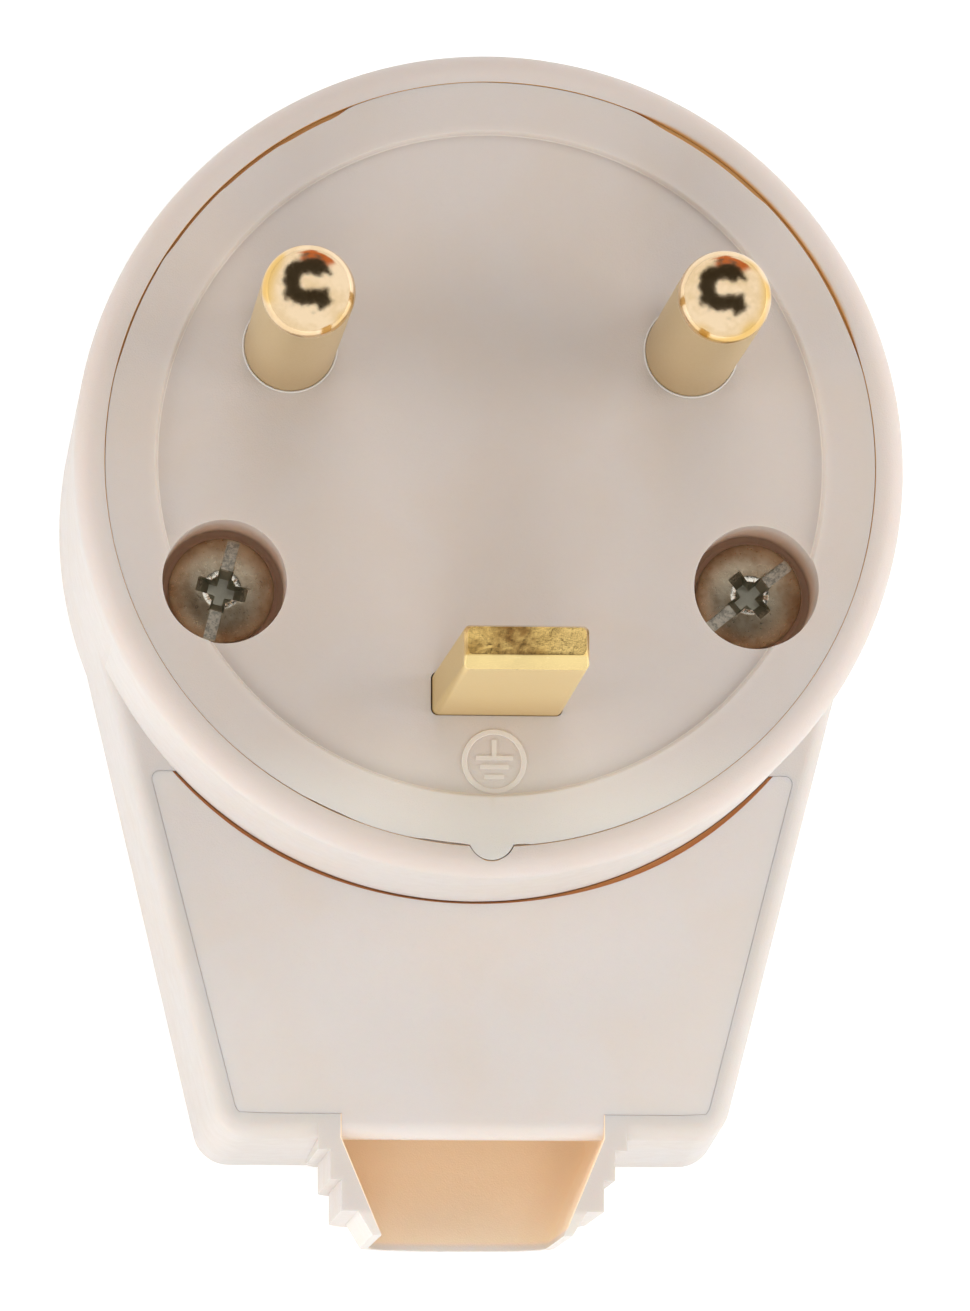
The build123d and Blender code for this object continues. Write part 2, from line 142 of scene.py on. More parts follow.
def keepResult(piece):
    # swaps the mesh for the result of the modifiers
    graph = bpy.context.evaluated_depsgraph_get()
    result = bpy.data.meshes.new_from_object(piece.evaluated_get(graph))
    piece.modifiers.clear()
    before = piece.data
    piece.data = result
    bpy.data.meshes.remove(before)


def combine(piece, others, operation):
    for other in others:
        step = piece.modifiers.new("step", "BOOLEAN")
        step.operation = operation
        step.solver = "EXACT"
        step.object = other
        keepResult(piece)
        bpy.data.objects.remove(other, do_unlink=True)
    return piece


def softenEdges(piece, width, angle=38, steps=2):
    bevel = piece.modifiers.new("edges", "BEVEL")
    bevel.width = width
    bevel.segments = steps
    bevel.limit_method = "ANGLE"
    bevel.angle_limit = radians(angle)
    keepResult(piece)


def finishPiece(piece, material, replaced=(), sharpAngle=32):
    # smooth shading with crisp corners, metres, material, body, slot and the nodes it stands for
    bm = bmesh.new()
    bm.from_mesh(piece.data)
    bmesh.ops.remove_doubles(bm, verts=bm.verts, dist=2e-4)
    bmesh.ops.dissolve_degenerate(bm, edges=bm.edges, dist=1e-4)
    bmesh.ops.scale(bm, vec=(metre, metre, metre), verts=bm.verts)
    for face in bm.faces:
        face.smooth = True
    for edge in bm.edges:
        edge.smooth = edge.calc_face_angle(0) < radians(sharpAngle)
    bm.to_mesh(piece.data)
    bm.free()
    weighted = piece.modifiers.new("normals", "WEIGHTED_NORMAL")
    weighted.keep_sharp = True
    weighted.weight = 70
    keepResult(piece)
    piece.data.materials.clear()
    piece.data.materials.append(material)
    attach(piece, "root")
    if replaced:
        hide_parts(*replaced)
    return piece


def toLinear(colour):
    return tuple(c / 12.92 if c <= 0.04045 else ((c + 0.055) / 1.055) ** 2.4 for c in colour) + (1,)


class Graph:
    # short hand for a tree of nodes
    def add(self, kind, settings=None, **inputs):
        node = self.tree.nodes.new(kind if "Node" in kind else "ShaderNode" + kind)
        for key, value in (settings or {}).items():
            setattr(node, key, value)
        for key, value in inputs.items():
            self.put(node, key, value)
        return node

    def put(self, node, key, value):
        socket = node.inputs[int(key[1:])] if key[0] == "i" and key[1:].isdigit() else node.inputs[key]
        if isinstance(value, bpy.types.NodeSocket):
            self.tree.links.new(value, socket)
        else:
            socket.default_value = value

    def math(self, operation, a, b=0.0, c=0.0, clamp=False):
        node = self.add("Math", {"operation": operation, "use_clamp": clamp}, i0=a, i1=b, i2=c)
        return node.outputs[0]

    def product(self, first, *others):
        for other in others:
            first = self.math("MULTIPLY", first, other)
        return first

    def above(self, value, level):
        return self.math("GREATER_THAN", value, level)

    def below(self, value, level):
        return self.math("LESS_THAN", value, level)

    def squares(self, a, b):
        return self.math("ADD", self.math("MULTIPLY", a, a), self.math("MULTIPLY", b, b))

    def distance(self, a, b):
        return self.math("SQRT", self.squares(a, b))

    def smooth(self, value, low, high, outLow=0.0, outHigh=1.0):
        # goes smoothly from one level to another
        node = self.add("MapRange", {"interpolation_type": "SMOOTHSTEP"})
        for key, item in zip(("Value", "From Min", "From Max", "To Min", "To Max"),
                             (value, low, high, outLow, outHigh)):
            self.put(node, key, item)
        return node.outputs[0]

    def mix(self, share, a, b):
        # mixes two colours
        node = self.add("Mix", {"data_type": "RGBA"}, i0=share, i6=a, i7=b)
        return node.outputs[2]


class Nodes(Graph):
    # a material's tree
    def __init__(self, name):
        self.material = bpy.data.materials.new(name)
        self.material.use_nodes = True
        self.tree = self.material.node_tree
        self.shader = self.tree.nodes["Principled BSDF"]

    def mixValue(self, share, a, b):
        return self.add("Mix", {"data_type": "FLOAT"}, i0=share, i2=a, i3=b).outputs[0]

    def tint(self, share, tone, colour):
        # brings a tone towards a colour as a screen shows it
        return self.mix(share, tone, toLinear(colour))

    def place(self):
        # object coordinates in millimetres
        coordinates = self.add("TexCoord")
        scaled = self.add("VectorMath", {"operation": "SCALE"}, i0=coordinates.outputs["Object"])
        scaled.inputs[3].default_value = 1000.0
        return scaled.outputs[0]

    def noise(self, vector, scale, detail=3.0, roughness=0.5, distortion=0.0):
        node = self.add("TexNoise")
        for key, item in (("Vector", vector), ("Scale", scale), ("Detail", detail),
                          ("Roughness", roughness), ("Distortion", distortion)):
            self.put(node, key, item)
        return node.outputs["Fac"]

    def bump(self, height, distance, strength=1.0, normal=None):
        node = self.add("Bump")
        self.put(node, "Height", height)
        node.inputs["Distance"].default_value = distance
        node.inputs["Strength"].default_value = strength
        if normal is not None:
            self.put(node, "Normal", normal)
        return node.outputs[0]


class ShapeTree(Graph):
    # a Geometry Nodes tree with named inputs
    def __init__(self, name):
        self.tree = bpy.data.node_groups.new(name, "GeometryNodeTree")
        self.tree.interface.new_socket("Geometry", in_out="INPUT", socket_type="NodeSocketGeometry")
        self.tree.interface.new_socket("Geometry", in_out="OUTPUT", socket_type="NodeSocketGeometry")
        self.entry = self.add("NodeGroupInput")
        self.exit = self.add("NodeGroupOutput")
        self.ids = {}

    def input(self, name, kind="Float"):
        item = self.tree.interface.new_socket(name, in_out="INPUT", socket_type="NodeSocket" + kind)
        self.ids[name] = item.identifier
        return self.entry.outputs[name]

    def vector(self, x=0.0, y=0.0, z=0.0):
        return self.add("CombineXYZ", i0=x, i1=y, i2=z).outputs[0]

    def move(self, shape, offset=None, turn=None):
        node = self.add("GeometryNodeTransform", Geometry=shape)
        if offset is not None:
            self.put(node, "Translation", offset)
        if turn is not None:
            self.put(node, "Rotation", turn)
        return node.outputs[0]

    def finish(self, shapes, points, turn, material):
        joined = self.add("GeometryNodeJoinGeometry")
        for shape in shapes:
            self.tree.links.new(shape, joined.inputs[0])
        placed = self.add("GeometryNodeInstanceOnPoints", Points=points, Instance=joined.outputs[0], Rotation=turn)
        real = self.add("GeometryNodeRealizeInstances", Geometry=placed.outputs[0])
        dressed = self.add("GeometryNodeSetMaterial", Geometry=real.outputs[0], Material=material)
        self.tree.links.new(dressed.outputs[0], self.exit.inputs[0])

    def apply(self, piece, values):
        made = piece.modifiers.new(self.tree.name, "NODES")
        made.node_group = self.tree
        for key, value in values.items():
            made[self.ids[key]] = value
        keepResult(piece)
        return piece


view = {
    "place": (-0.044368, -0.086213, 0.588523),
    "turn": (0.1314, -0.0792, 0.0),
    "lens": 234.83,
    "sensor": 36.0,
}
cameraData = bpy.data.cameras.new("camera")
cameraData.lens = view["lens"]
cameraData.sensor_width = view["sensor"]
cameraData.clip_start = 0.01
cameraData.clip_end = 20.0
camera = bpy.data.objects.new("camera", cameraData)
camera.location = view["place"]
camera.rotation_euler = Euler(view["turn"], "XYZ")
bpy.context.scene.collection.objects.link(camera)
bpy.context.scene.camera = camera

studio = {
    "skyStrength": 0.50,
    "sky": (1.0, 1.0, 1.0),
    "mirrored": 0.95,  # how bright the studio looks in polished metal
    "mirrorFrom": (-0.058, -0.174, 0.983),  # halfway from a ray to this fixed direction tells its place in the arc
    "mirrorDark": (-0.03, 0.10, 0.17, 0.57),  # place, inner and outer radius of the arc
    "mirrorOpen": (0.40, 0.60),  # angles over which its open side ends
    "mirrorWarm": (1.25, 0.75, 0.45),  # middle angle and reach of the warm arc beside it
    "darkColour": (0.22, 0.20, 0.16),
    "warmColour": (0.78, 0.46, 0.28),
    "lamps": {
        # name: (place, size, watts, colour), all aimed at the plug
        "leftBox": ((-0.62, -0.10, 0.16), 0.50, 2.0, (1.0, 0.975, 0.95)),
        "rightBox": ((0.60, -0.02, 0.20), 0.50, 2.3, (1.0, 0.995, 0.985)),
        "topBox": ((0.02, 0.50, 0.52), 0.45, 0.95, (1.0, 0.95, 0.90)),
        "lowBox": ((-0.05, -0.60, 0.26), 0.45, 1.6, (1.0, 1.0, 0.99)),
    },
    "aim": (0, -0.01, 0.02),
    "floorHalf": 1.5,
    "floorDrop": 0.0002,
    "floorColour": (0.93, 0.93, 0.93),
    "floorGlow": 0.42,
}
world = bpy.data.worlds.new("studio")
bpy.context.scene.world = world
world.use_nodes = True
background = world.node_tree.nodes["Background"]
background.inputs["Color"].default_value = toLinear(studio["sky"])
background.inputs["Strength"].default_value = studio["skyStrength"]


def mirroredStudio():
    # what polished metal shows: a bright tent with one dark arc overhead, fixed in the room
    sky = Graph()
    sky.tree = world.node_tree
    ray = sky.add("TexCoord").outputs["Generated"]
    wobble = sky.add("TexNoise", Vector=ray, Scale=3.5, Detail=1.5)
    moved = sky.add("VectorMath", {"operation": "MULTIPLY_ADD"}, i0=wobble.outputs["Color"],
                    i1=(0.5, 0.5, 0.0), i2=(-0.25, -0.25, 0.0))
    raised = sky.add("VectorMath", {"operation": "ADD"}, i0=ray, i1=studio["mirrorFrom"])
    middle = sky.add("VectorMath", {"operation": "NORMALIZE"}, i0=raised.outputs[0])
    spread = sky.add("VectorMath", {"operation": "MULTIPLY_ADD"}, i0=middle.outputs[0], i1=(1.5, 1.5, 1.5),
                     i2=moved.outputs[0])
    split = sky.add("SeparateXYZ", i0=spread.outputs[0])
    placeX, placeY, inner, outer = studio["mirrorDark"]
    u = sky.math("SUBTRACT", split.outputs[0], placeX)
    v = sky.math("SUBTRACT", split.outputs[1], placeY)
    far = sky.distance(u, v)
    angle = sky.math("ABSOLUTE", sky.math("ARCTAN2", v, u))
    arc = sky.product(sky.smooth(far, inner - 0.05, inner + 0.03), sky.smooth(far, outer + 0.04, outer - 0.04),
                      sky.smooth(angle, *studio["mirrorOpen"]))
    warmMiddle, warmNone, warmFull = studio["mirrorWarm"]
    beside = sky.math("ABSOLUTE", sky.math("SUBTRACT", angle, warmMiddle))
    warm = sky.product(sky.smooth(far, outer - 0.06, outer + 0.02), sky.smooth(far, outer + 0.30, outer + 0.20),
                       sky.smooth(beside, warmNone, warmFull), sky.above(v, 0.0))
    tent = sky.mix(warm, (1, 1, 1, 1), toLinear(studio["warmColour"]))
    tone = sky.mix(arc, tent, toLinear(studio["darkColour"]))
    shown = sky.add("Background", Color=tone, Strength=studio["mirrored"])
    rays = sky.add("LightPath")
    choice = sky.add("MixShader", i0=rays.outputs["Is Glossy Ray"], i1=background.outputs[0], i2=shown.outputs[0])
    sky.tree.links.new(choice.outputs[0], sky.tree.nodes["World Output"].inputs["Surface"])


mirroredStudio()

for name, (place, size, watts, colour) in studio["lamps"].items():
    lampData = bpy.data.lights.new(name, "AREA")
    lampData.shape = "DISK"
    lampData.size = size
    lampData.energy = watts
    lampData.color = colour
    lamp = bpy.data.objects.new(name, lampData)
    lamp.location = place
    lamp.visible_glossy = False
    lamp.rotation_euler = (Vector(studio["aim"]) - Vector(place)).to_track_quat("-Z", "Y").to_euler()
    bpy.context.scene.collection.objects.link(lamp)

floorBm = bmesh.new()
half = studio["floorHalf"]
floorBm.faces.new([floorBm.verts.new((x, y, 0)) for x, y in
                   ((-half, -half), (half, -half), (half, half), (-half, half))])
floorMesh = bpy.data.meshes.new("floor")
floorBm.to_mesh(floorMesh)
floorBm.free()
floor = bpy.data.objects.new("floor", floorMesh)
bpy.context.scene.collection.objects.link(floor)
floor.location.z = -studio["floorDrop"]

paper = Nodes("paleFloor")
paper.put(paper.shader, "Base Color", toLinear(studio["floorColour"]))
paper.put(paper.shader, "Roughness", 0.9)
rays = paper.add("LightPath")
glow = paper.add("Emission", Color=(1, 1, 1, 1), Strength=studio["floorGlow"])
seen = paper.math("MAXIMUM", rays.outputs["Is Camera Ray"],
                  paper.math("MULTIPLY", rays.outputs["Is Glossy Ray"], 0.5))
dark = paper.add("Emission", Color=(0, 0, 0, 1), Strength=0.0)
lit = paper.add("MixShader", i0=seen, i1=dark.outputs[0], i2=glow.outputs[0])
total = paper.add("AddShader", i0=paper.shader.outputs[0], i1=lit.outputs[0])
paper.tree.links.new(total.outputs[0], paper.tree.nodes["Material Output"].inputs["Surface"])
floorMesh.materials.append(paper.material)
bpy.context.scene.view_settings.view_transform = "Standard"
print("stage: camera, lamps and floor")


def shade(colour, factors):
    return tuple(c * k for c, k in zip(colour, factors)) + (1,)


def axes(m, at):
    split = m.add("SeparateXYZ", i0=at)
    return split.outputs[0], split.outputs[1], split.outputs[2]


def mouldedPlastic(name, colour, roughness, grain, paintedLight=None):
    # clouded and faintly specked, with a fine grain; the last argument paints in light and shade, such as what light
    # does in its joints
    m = Nodes(name)
    at = m.place()
    cloud = m.noise(at, 0.11, 2.0, 0.6, 0.4)
    speck = m.noise(at, 1.6, 4.0, 0.6)
    base = toLinear(colour)
    darker, warmer = shade(base, (0.93, 0.93, 0.93)), shade(base, (1.0, 0.975, 0.94))
    tone = m.mix(m.smooth(cloud, 0.35, 0.68), base, warmer)
    tone = m.mix(m.smooth(speck, 0.60, 0.80, 0.0, 0.35), tone, darker)
    if paintedLight:
        tone = paintedLight(m, at, tone)
    m.put(m.shader, "Base Color", tone)
    fine = m.noise(at, 9.0, 3.0, 0.6)
    wide = m.noise(at, 0.5, 2.0, 0.5)
    m.put(m.shader, "Roughness", m.smooth(m.noise(at, 0.8, 3.0, 0.6), 0.3, 0.7, roughness - 0.05, roughness + 0.07))
    m.put(m.shader, "Normal", m.bump(fine, grain, 0.5, m.bump(wide, 0.00012, 0.35)))
    m.shader.inputs["IOR"].default_value = 1.49
    m.shader.inputs["Subsurface Weight"].default_value = 0.30
    m.shader.inputs["Subsurface Radius"].default_value = (1.0, 0.62, 0.38)
    m.shader.inputs["Subsurface Scale"].default_value = 0.0014
    return m.material


housingLook = {
    "colour": (0.872, 0.845, 0.826), "roughness": 0.40,
    "lips": (0.94, 0.915, 0.89), "lipsHighlightAt": (48.0, 48.5), "lipsHighlightShare": 0.8,
    # painted light: a warm tint near the top of the ring
    "rim": (0.875, 0.805, 0.765), "rimAt": (33.5, 34.6), "rimShare": 0.5,
    # the outlet's inner walls: half their distance at the arm's end, and how it narrows from there
    "wallsAt": 43.3, "wallsHalf": 8.87, "wallsTaper": -0.4154,
    # painted light in the cord outlet: a tan tint and a glow, as if lit through its thin walls
    "outletFloor": 2.0, "outletFrom": (38.0, 40.0), "outletTo": (49.6, 49.1), "outletAt": (44.5, 49.4),
    "outletInner": (0.97, 0.895, 0.79), "outletOuter": (0.975, 0.915, 0.83),
    "glowAt": (43.5, 49.5), "glowInner": (0.21, 0.115, 0.050, 1), "glowOuter": (0.12, 0.055, 0.012, 1),
    "joint": (0.85, 0.64, 0.38), "boreRadius": 25.43, "boreFrom": 26.0,
    "mouthRadius": 25.78, "mouthFrom": 34.0, "mouthFade": (34.99, 34.84),
    "lidRadius": 27.6, "lidLevels": (17.35, 19.24), "lidFrom": -19.0,
    "keyMiddle": -24.78, "keyRadius": 1.59, "keyLevels": (31.0, 34.95),
}


def housingPaintedLight(m, at, tone):
    # painted light: the cord outlet tinted and glowing as if lit through the thin walls, and warm shade in the joints
    look = housingLook
    x, y, z = axes(m, at)
    reach = m.math("MULTIPLY", y, -1.0)
    # painted highlight: the outlet's lips lighter
    lips = m.product(m.smooth(reach, *look["lipsHighlightAt"]), look["lipsHighlightShare"])
    tone = m.tint(lips, tone, look["lips"])
    # painted light: a warm tint near the top of the ring
    tone = m.tint(m.product(m.smooth(z, *look["rimAt"]), look["rimShare"]), tone, look["rim"])
    # painted light: the cord outlet's inner walls tinted tan as if lit through the thin walls
    beyond = m.math("MAXIMUM", m.math("SUBTRACT", reach, look["wallsAt"]), 0.0)
    half = m.math("MULTIPLY_ADD", beyond, look["wallsTaper"], look["wallsHalf"])
    inside = m.product(m.below(m.math("ABSOLUTE", x), half), m.above(z, look["outletFloor"]),
                       m.smooth(reach, *look["outletFrom"]), m.smooth(reach, *look["outletTo"]))
    tan = m.mix(m.smooth(reach, *look["outletAt"]), toLinear(look["outletInner"]), toLinear(look["outletOuter"]))
    tone = m.mix(inside, tone, tan)
    # painted glow: the outlet's inner walls give off a dim warm light
    glow = m.mix(m.smooth(reach, *look["glowAt"]), look["glowInner"], look["glowOuter"])
    m.put(m.shader, "Emission Color", m.mix(inside, (0, 0, 0, 1), glow))
    m.put(m.shader, "Emission Strength", 1.0)
    # painted warm shade in the joints: the bore, its mouth, beside the key and beside the lid
    radius = m.distance(x, y)
    joint = m.product(m.below(radius, look["boreRadius"]), m.above(z, look["boreFrom"]))
    mouth = m.product(m.below(radius, look["mouthRadius"]), m.above(z, look["mouthFrom"]),
                      m.smooth(z, *look["mouthFade"]))
    low, high = look["lidLevels"]
    besideLid = m.product(m.below(radius, look["lidRadius"]), m.below(z, high), m.below(y, look["lidFrom"]),
                          m.above(z, low))
    low, high = look["keyLevels"]
    fromKey = m.distance(x, m.math("SUBTRACT", y, look["keyMiddle"]))
    besideKey = m.product(m.below(fromKey, look["keyRadius"]), m.above(z, low), m.below(z, high))
    shadedJoints = joint
    for other in (mouth, besideKey, besideLid):
        shadedJoints = m.math("MAXIMUM", shadedJoints, other)
    return m.tint(shadedJoints, tone, look["joint"])


faceLook = {
    "colour": (0.842, 0.801, 0.775), "roughness": 0.44,
    "joint": (0.85, 0.64, 0.38), "jointRadius": 24.9, "jointTop": 34.93,
    # painted highlight along the recess's edge
    "lip": (0.93, 0.90, 0.87), "lipFrom": 22.0, "lipFade": (22.7, 22.15), "lipShare": 0.12,
    "low": (0.895, 0.87, 0.84), "lowAt": (-17.0, -24.0),  # painted light: paler towards the arm
    "deep": (0.99, 0.86, 0.76), "deepWarmLightRadius": 24.6, "deepWarmLightAt": (34.2, 30.0),  # painted warm light in the wells and other holes
    "sign": (0.93, 0.90, 0.86), "signLevels": (34.51, 34.60), "signRadius": 22.2, "raisedHighlightShare": 0.6,
}


def facePaintedLight(m, at, tone):
    look = faceLook
    x, y, z = axes(m, at)
    radius = m.distance(x, y)
    # painted warm shade on the plate's edge, in the joint round it
    tone = m.tint(m.product(m.above(radius, look["jointRadius"]), m.below(z, look["jointTop"])), tone, look["joint"])
    # painted highlight along the recess's edge
    lip = m.product(m.above(radius, look["lipFrom"]), m.smooth(radius, *look["lipFade"]), look["lipShare"])
    tone = m.tint(lip, tone, look["lip"])
    # painted light: paler towards the arm
    tone = m.tint(m.smooth(y, *look["lowAt"]), tone, look["low"])
    # painted warm light in the wells and other holes
    deep = m.product(m.below(radius, look["deepWarmLightRadius"]), m.smooth(z, *look["deepWarmLightAt"]))
    tone = m.tint(deep, tone, look["deep"])
    # painted highlight on the raised sign and the beads round the pins
    low, high = look["signLevels"]
    raised = m.product(m.above(z, low), m.below(radius, look["signRadius"]), m.below(z, high), look["raisedHighlightShare"])
    return m.tint(raised, tone, look["sign"])


coverLook = {
    "colour": (0.899, 0.869, 0.850), "roughness": 0.38,
    # painted warm shade on the cover's walls, in the gap round it
    "edge": (0.84, 0.56, 0.32), "edgeTop": 19.22, "edgeFrom": -42.2,
}


def coverPaintedLight(m, at, tone):
    y, z = axes(m, at)[1:]
    # painted warm shade on the cover's walls below its top, but not on the tongue's front
    edge = m.product(m.below(z, coverLook["edgeTop"]), m.above(y, coverLook["edgeFrom"]))
    return m.tint(edge, tone, coverLook["edge"])


grain = 0.00004
housingPlastic = mouldedPlastic("housingPlastic", housingLook["colour"], housingLook["roughness"], grain, housingPaintedLight)
facePlastic = mouldedPlastic("facePlastic", faceLook["colour"], faceLook["roughness"], grain, facePaintedLight)
coverPlastic = mouldedPlastic("coverPlastic", coverLook["colour"], coverLook["roughness"], grain, coverPaintedLight)
innerPlastic = mouldedPlastic("innerPlastic", (0.80, 0.76, 0.70), 0.5, 0.00005)


pinLook = {
    "shaft": (0.815, 0.715, 0.53), "gold": (0.985, 0.88, 0.73), "dull": (0.93, 0.81, 0.63), "tipFrom": 54.8,
    "place": (13.25, 7.65), "rim": (0.93, 0.77, 0.47), "rimRadii": (1.9, 2.7), "rimPatches": (0.50, 0.64),
}
bladeLook = {
    "shaft": (0.93, 0.82, 0.58), "gold": (0.96, 0.81, 0.50), "dull": (0.72, 0.56, 0.30), "tipFrom": 57.2,
    "beaten": 0.000014,  # depth of the tip's dents, in metres
    "sideShade": (0.76, 0.72, 0.60), "sideAt": (-3.35, -3.6), "sideTop": (57.6, 57.2),
    "brownPatch": (0.52, 0.35, 0.18), "brownPatchShift": 0.3, "brownPatchHalf": (1.9, 0.2), "brownPatchShare": 0.9,
    # painted highlights: paler towards the right of the tip and on its front bevel
    "right": (0.99, 0.85, 0.55), "rightAt": (1.2, 3.0),
    "bevel": (1.0, 0.90, 0.64), "bevelAt": (-15.75, -15.95),
    "paleShare": 0.85, "topFrom": 0.72, "topWaves": 0.24, "topFade": 0.04,
}
metalLook = {
    "tipFade": 0.8, "metallic": (0.55, 1.0), "roughness": (0.36, 0.10), "worn": 0.06,
    "footShadeAt": (46.0, 34.5), "foot": (0.90, 0.86, 0.80),  # painted shade: the shafts darken towards the face
}


def contactMetal(name, look):
    # pale polished shaft, richer gold at the tip; a rim is gilded in patches, a beaten tip has small dents
    m = Nodes(name)
    at = m.place()
    x, y, z = axes(m, at)
    tip = m.smooth(z, look["tipFrom"], look["tipFrom"] + metalLook["tipFade"])
    cloud = m.noise(at, 0.5, 3.0, 0.6)
    fine = m.noise(at, 5.0, 4.0, 0.7)
    shaft = toLinear(look["shaft"])
    # painted shade on the shafts near the face
    low = m.mix(m.smooth(z, *metalLook["footShadeAt"]), shaft, shade(shaft, metalLook["foot"]))
    high = m.mix(m.smooth(cloud, 0.40, 0.64, 0.0, 0.8), toLinear(look["gold"]), toLinear(look["dull"]))
    if "rim" in look:
        dx = m.math("SUBTRACT", m.math("ABSOLUTE", x), look["place"][0])
        far = m.distance(dx, m.math("SUBTRACT", y, look["place"][1]))
        patches = m.smooth(m.noise(at, 0.28, 2.0), *look["rimPatches"])
        high = m.tint(m.product(m.smooth(far, *look["rimRadii"]), patches), high, look["rim"])
    m.put(m.shader, "Metallic", m.mixValue(tip, *metalLook["metallic"]))
    worn = m.smooth(fine, 0.35, 0.75, 0.0, metalLook["worn"])
    m.put(m.shader, "Roughness", m.math("ADD", m.mixValue(tip, *metalLook["roughness"]), worn))
    normal = m.bump(fine, 0.00002, 0.2)
    if "beaten" in look:
        beside = m.product(m.smooth(x, *look["sideAt"]), m.smooth(z, *look["sideTop"]))
        low = m.mix(beside, low, shade(shaft, look["sideShade"]))
        # a dark brown patch across the middle of the tip
        fromBrownPatch = m.math("ABSOLUTE", m.math("ADD", x, look["brownPatchShift"]))
        brownPatch = m.product(m.smooth(fromBrownPatch, *look["brownPatchHalf"]), m.smooth(cloud, 0.30, 0.55), look["brownPatchShare"])
        high = m.tint(brownPatch, high, look["brownPatch"])
        # painted highlights: paler towards the right of the tip and on its front bevel
        high = m.tint(m.smooth(x, *look["rightAt"], 0.0, look["paleShare"]), high, look["right"])
        high = m.tint(m.smooth(y, *look["bevelAt"], 0.0, look["paleShare"]), high, look["bevel"])
        drawn = m.add("VectorMath", {"operation": "MULTIPLY"}, i0=at, i1=(4.0, 0.7, 1.0)).outputs[0]
        dents = m.math("ADD", m.noise(at, 0.9, 1.5, 0.5, 0.8), m.product(m.noise(drawn, 1.0, 3.0, 0.6), 0.7))
        level = m.math("MULTIPLY_ADD", m.noise(at, 0.5, 1.0), look["topWaves"], look["tipFrom"] + look["topFrom"])
        flatTop = m.smooth(z, level, m.math("ADD", level, look["topFade"]))
        normal = m.bump(m.product(dents, flatTop), look["beaten"], 1.0, normal)
    m.put(m.shader, "Base Color", m.mix(tip, low, high))
    m.put(m.shader, "Normal", normal)
    return m.material


pinBrass = contactMetal("pinBrass", pinLook)
bladeBrass = contactMetal("bladeBrass", bladeLook)

steelLook = {
    "plain": (0.66, 0.63, 0.57), "housing": (0.77, 0.72, 0.63), "brown": (0.64, 0.56, 0.46), "roughness": (0.26, 0.42),
    # the housing screws' heads, for what is painted in their slot and cross
    "place": (17.5, -8.05), "turns": {"left": 76, "right": 39}, "headRadius": 3.5, "dome": 0.7, "top": 30.7,
    "slotFrom": (0.05, 0.12), "crossRadius": 1.86, "halfWing": (0.36, 0.44),
    "facetDepths": (0.01, 0.03, 0.36, 0.30), "wingDepths": (0.60, 0.66), "bottomDepths": (0.32, 0.38),
    "slot": ((0.86, 0.83, 0.77), (0.64, 0.62, 0.57)), "slotRoughness": 0.42,
    # painted shade in the cross's depths and painted highlights on its facets
    "wing": (0.68, 0.67, 0.61), "facet": (0.95, 0.93, 0.88), "facetRoughness": 0.16,
}


def crossPaint(m, at, tone, rough):
    # how deep a point lies below the dome tells the slot and the cross from the head
    look = steelLook
    x, y, z = axes(m, at)
    placeX, placeY = look["place"]
    dy = m.math("SUBTRACT", y, placeY)
    squared = m.squares(m.math("SUBTRACT", m.math("ABSOLUTE", x), placeX), dy)
    share = m.math("SUBTRACT", 1.0, m.math("DIVIDE", squared, look["headRadius"] ** 2), clamp=True)
    level = m.math("ADD", m.product(m.math("SQRT", share), look["dome"]), look["top"] - look["dome"])
    depth = m.math("SUBTRACT", level, z)
    slotShare = m.product(m.smooth(depth, *look["slotFrom"]), m.below(share, 0.999))
    # along and beside the cross's wings, each screw by its own turn
    leftOnes = m.below(x, 0.0)
    turn = m.mixValue(leftOnes, radians(look["turns"]["right"]), radians(look["turns"]["left"]))
    dx = m.math("SUBTRACT", x, m.mixValue(leftOnes, placeX, -placeX))
    cosine, sine = m.math("COSINE", turn), m.math("SINE", turn)
    along = m.math("ADD", m.product(dx, cosine), m.product(dy, sine))
    beside = m.math("SUBTRACT", m.product(dy, cosine), m.product(dx, sine))
    nearest = m.math("MINIMUM", m.math("ABSOLUTE", along), m.math("ABSOLUTE", beside))
    inCross = m.below(squared, look["crossRadius"] ** 2)
    between = m.product(m.smooth(nearest, *look["halfWing"]), inCross)
    shallow, facetFrom, facetTo, deepest = look["facetDepths"]
    # painted highlight: bright crescents on the cone between the wings
    facet = m.product(between, m.product(m.smooth(depth, shallow, facetFrom), m.smooth(depth, facetTo, deepest)))
    # painted shade: the cross's deep walls and floor darker
    wing = m.math("MAXIMUM", m.product(m.smooth(depth, *look["wingDepths"]), inCross),
                  m.product(between, m.smooth(depth, *look["bottomDepths"])))
    pale, grey = (toLinear(colour) for colour in look["slot"])
    tone = m.mix(slotShare, tone, m.mix(m.smooth(m.noise(at, 3.5, 4.0, 0.7), 0.40, 0.62), pale, grey))
    tone = m.tint(facet, m.tint(wing, tone, look["wing"]), look["facet"])
    rough = m.mixValue(slotShare, rough, look["slotRoughness"])
    return tone, m.mixValue(facet, rough, look["facetRoughness"])


def screwMetal(name, colour, painted=False):
    m = Nodes(name)
    at = m.place()
    fine = m.noise(at, 6.0, 4.0, 0.7)
    tone = m.tint(m.smooth(m.noise(at, 0.55, 3.0, 0.6), 0.36, 0.70), toLinear(colour), steelLook["brown"])
    rough = m.smooth(fine, 0.3, 0.75, *steelLook["roughness"])
    if painted:
        tone, rough = crossPaint(m, at, tone, rough)
    m.put(m.shader, "Base Color", tone)
    m.put(m.shader, "Metallic", 1.0)
    m.put(m.shader, "Roughness", rough)
    m.put(m.shader, "Normal", m.bump(fine, 0.00004, 0.4))
    return m.material


screwSteel = screwMetal("screwSteel", steelLook["plain"])
housingScrewSteel = screwMetal("housingScrewSteel", steelLook["housing"], painted=True)
print("stage: materials")


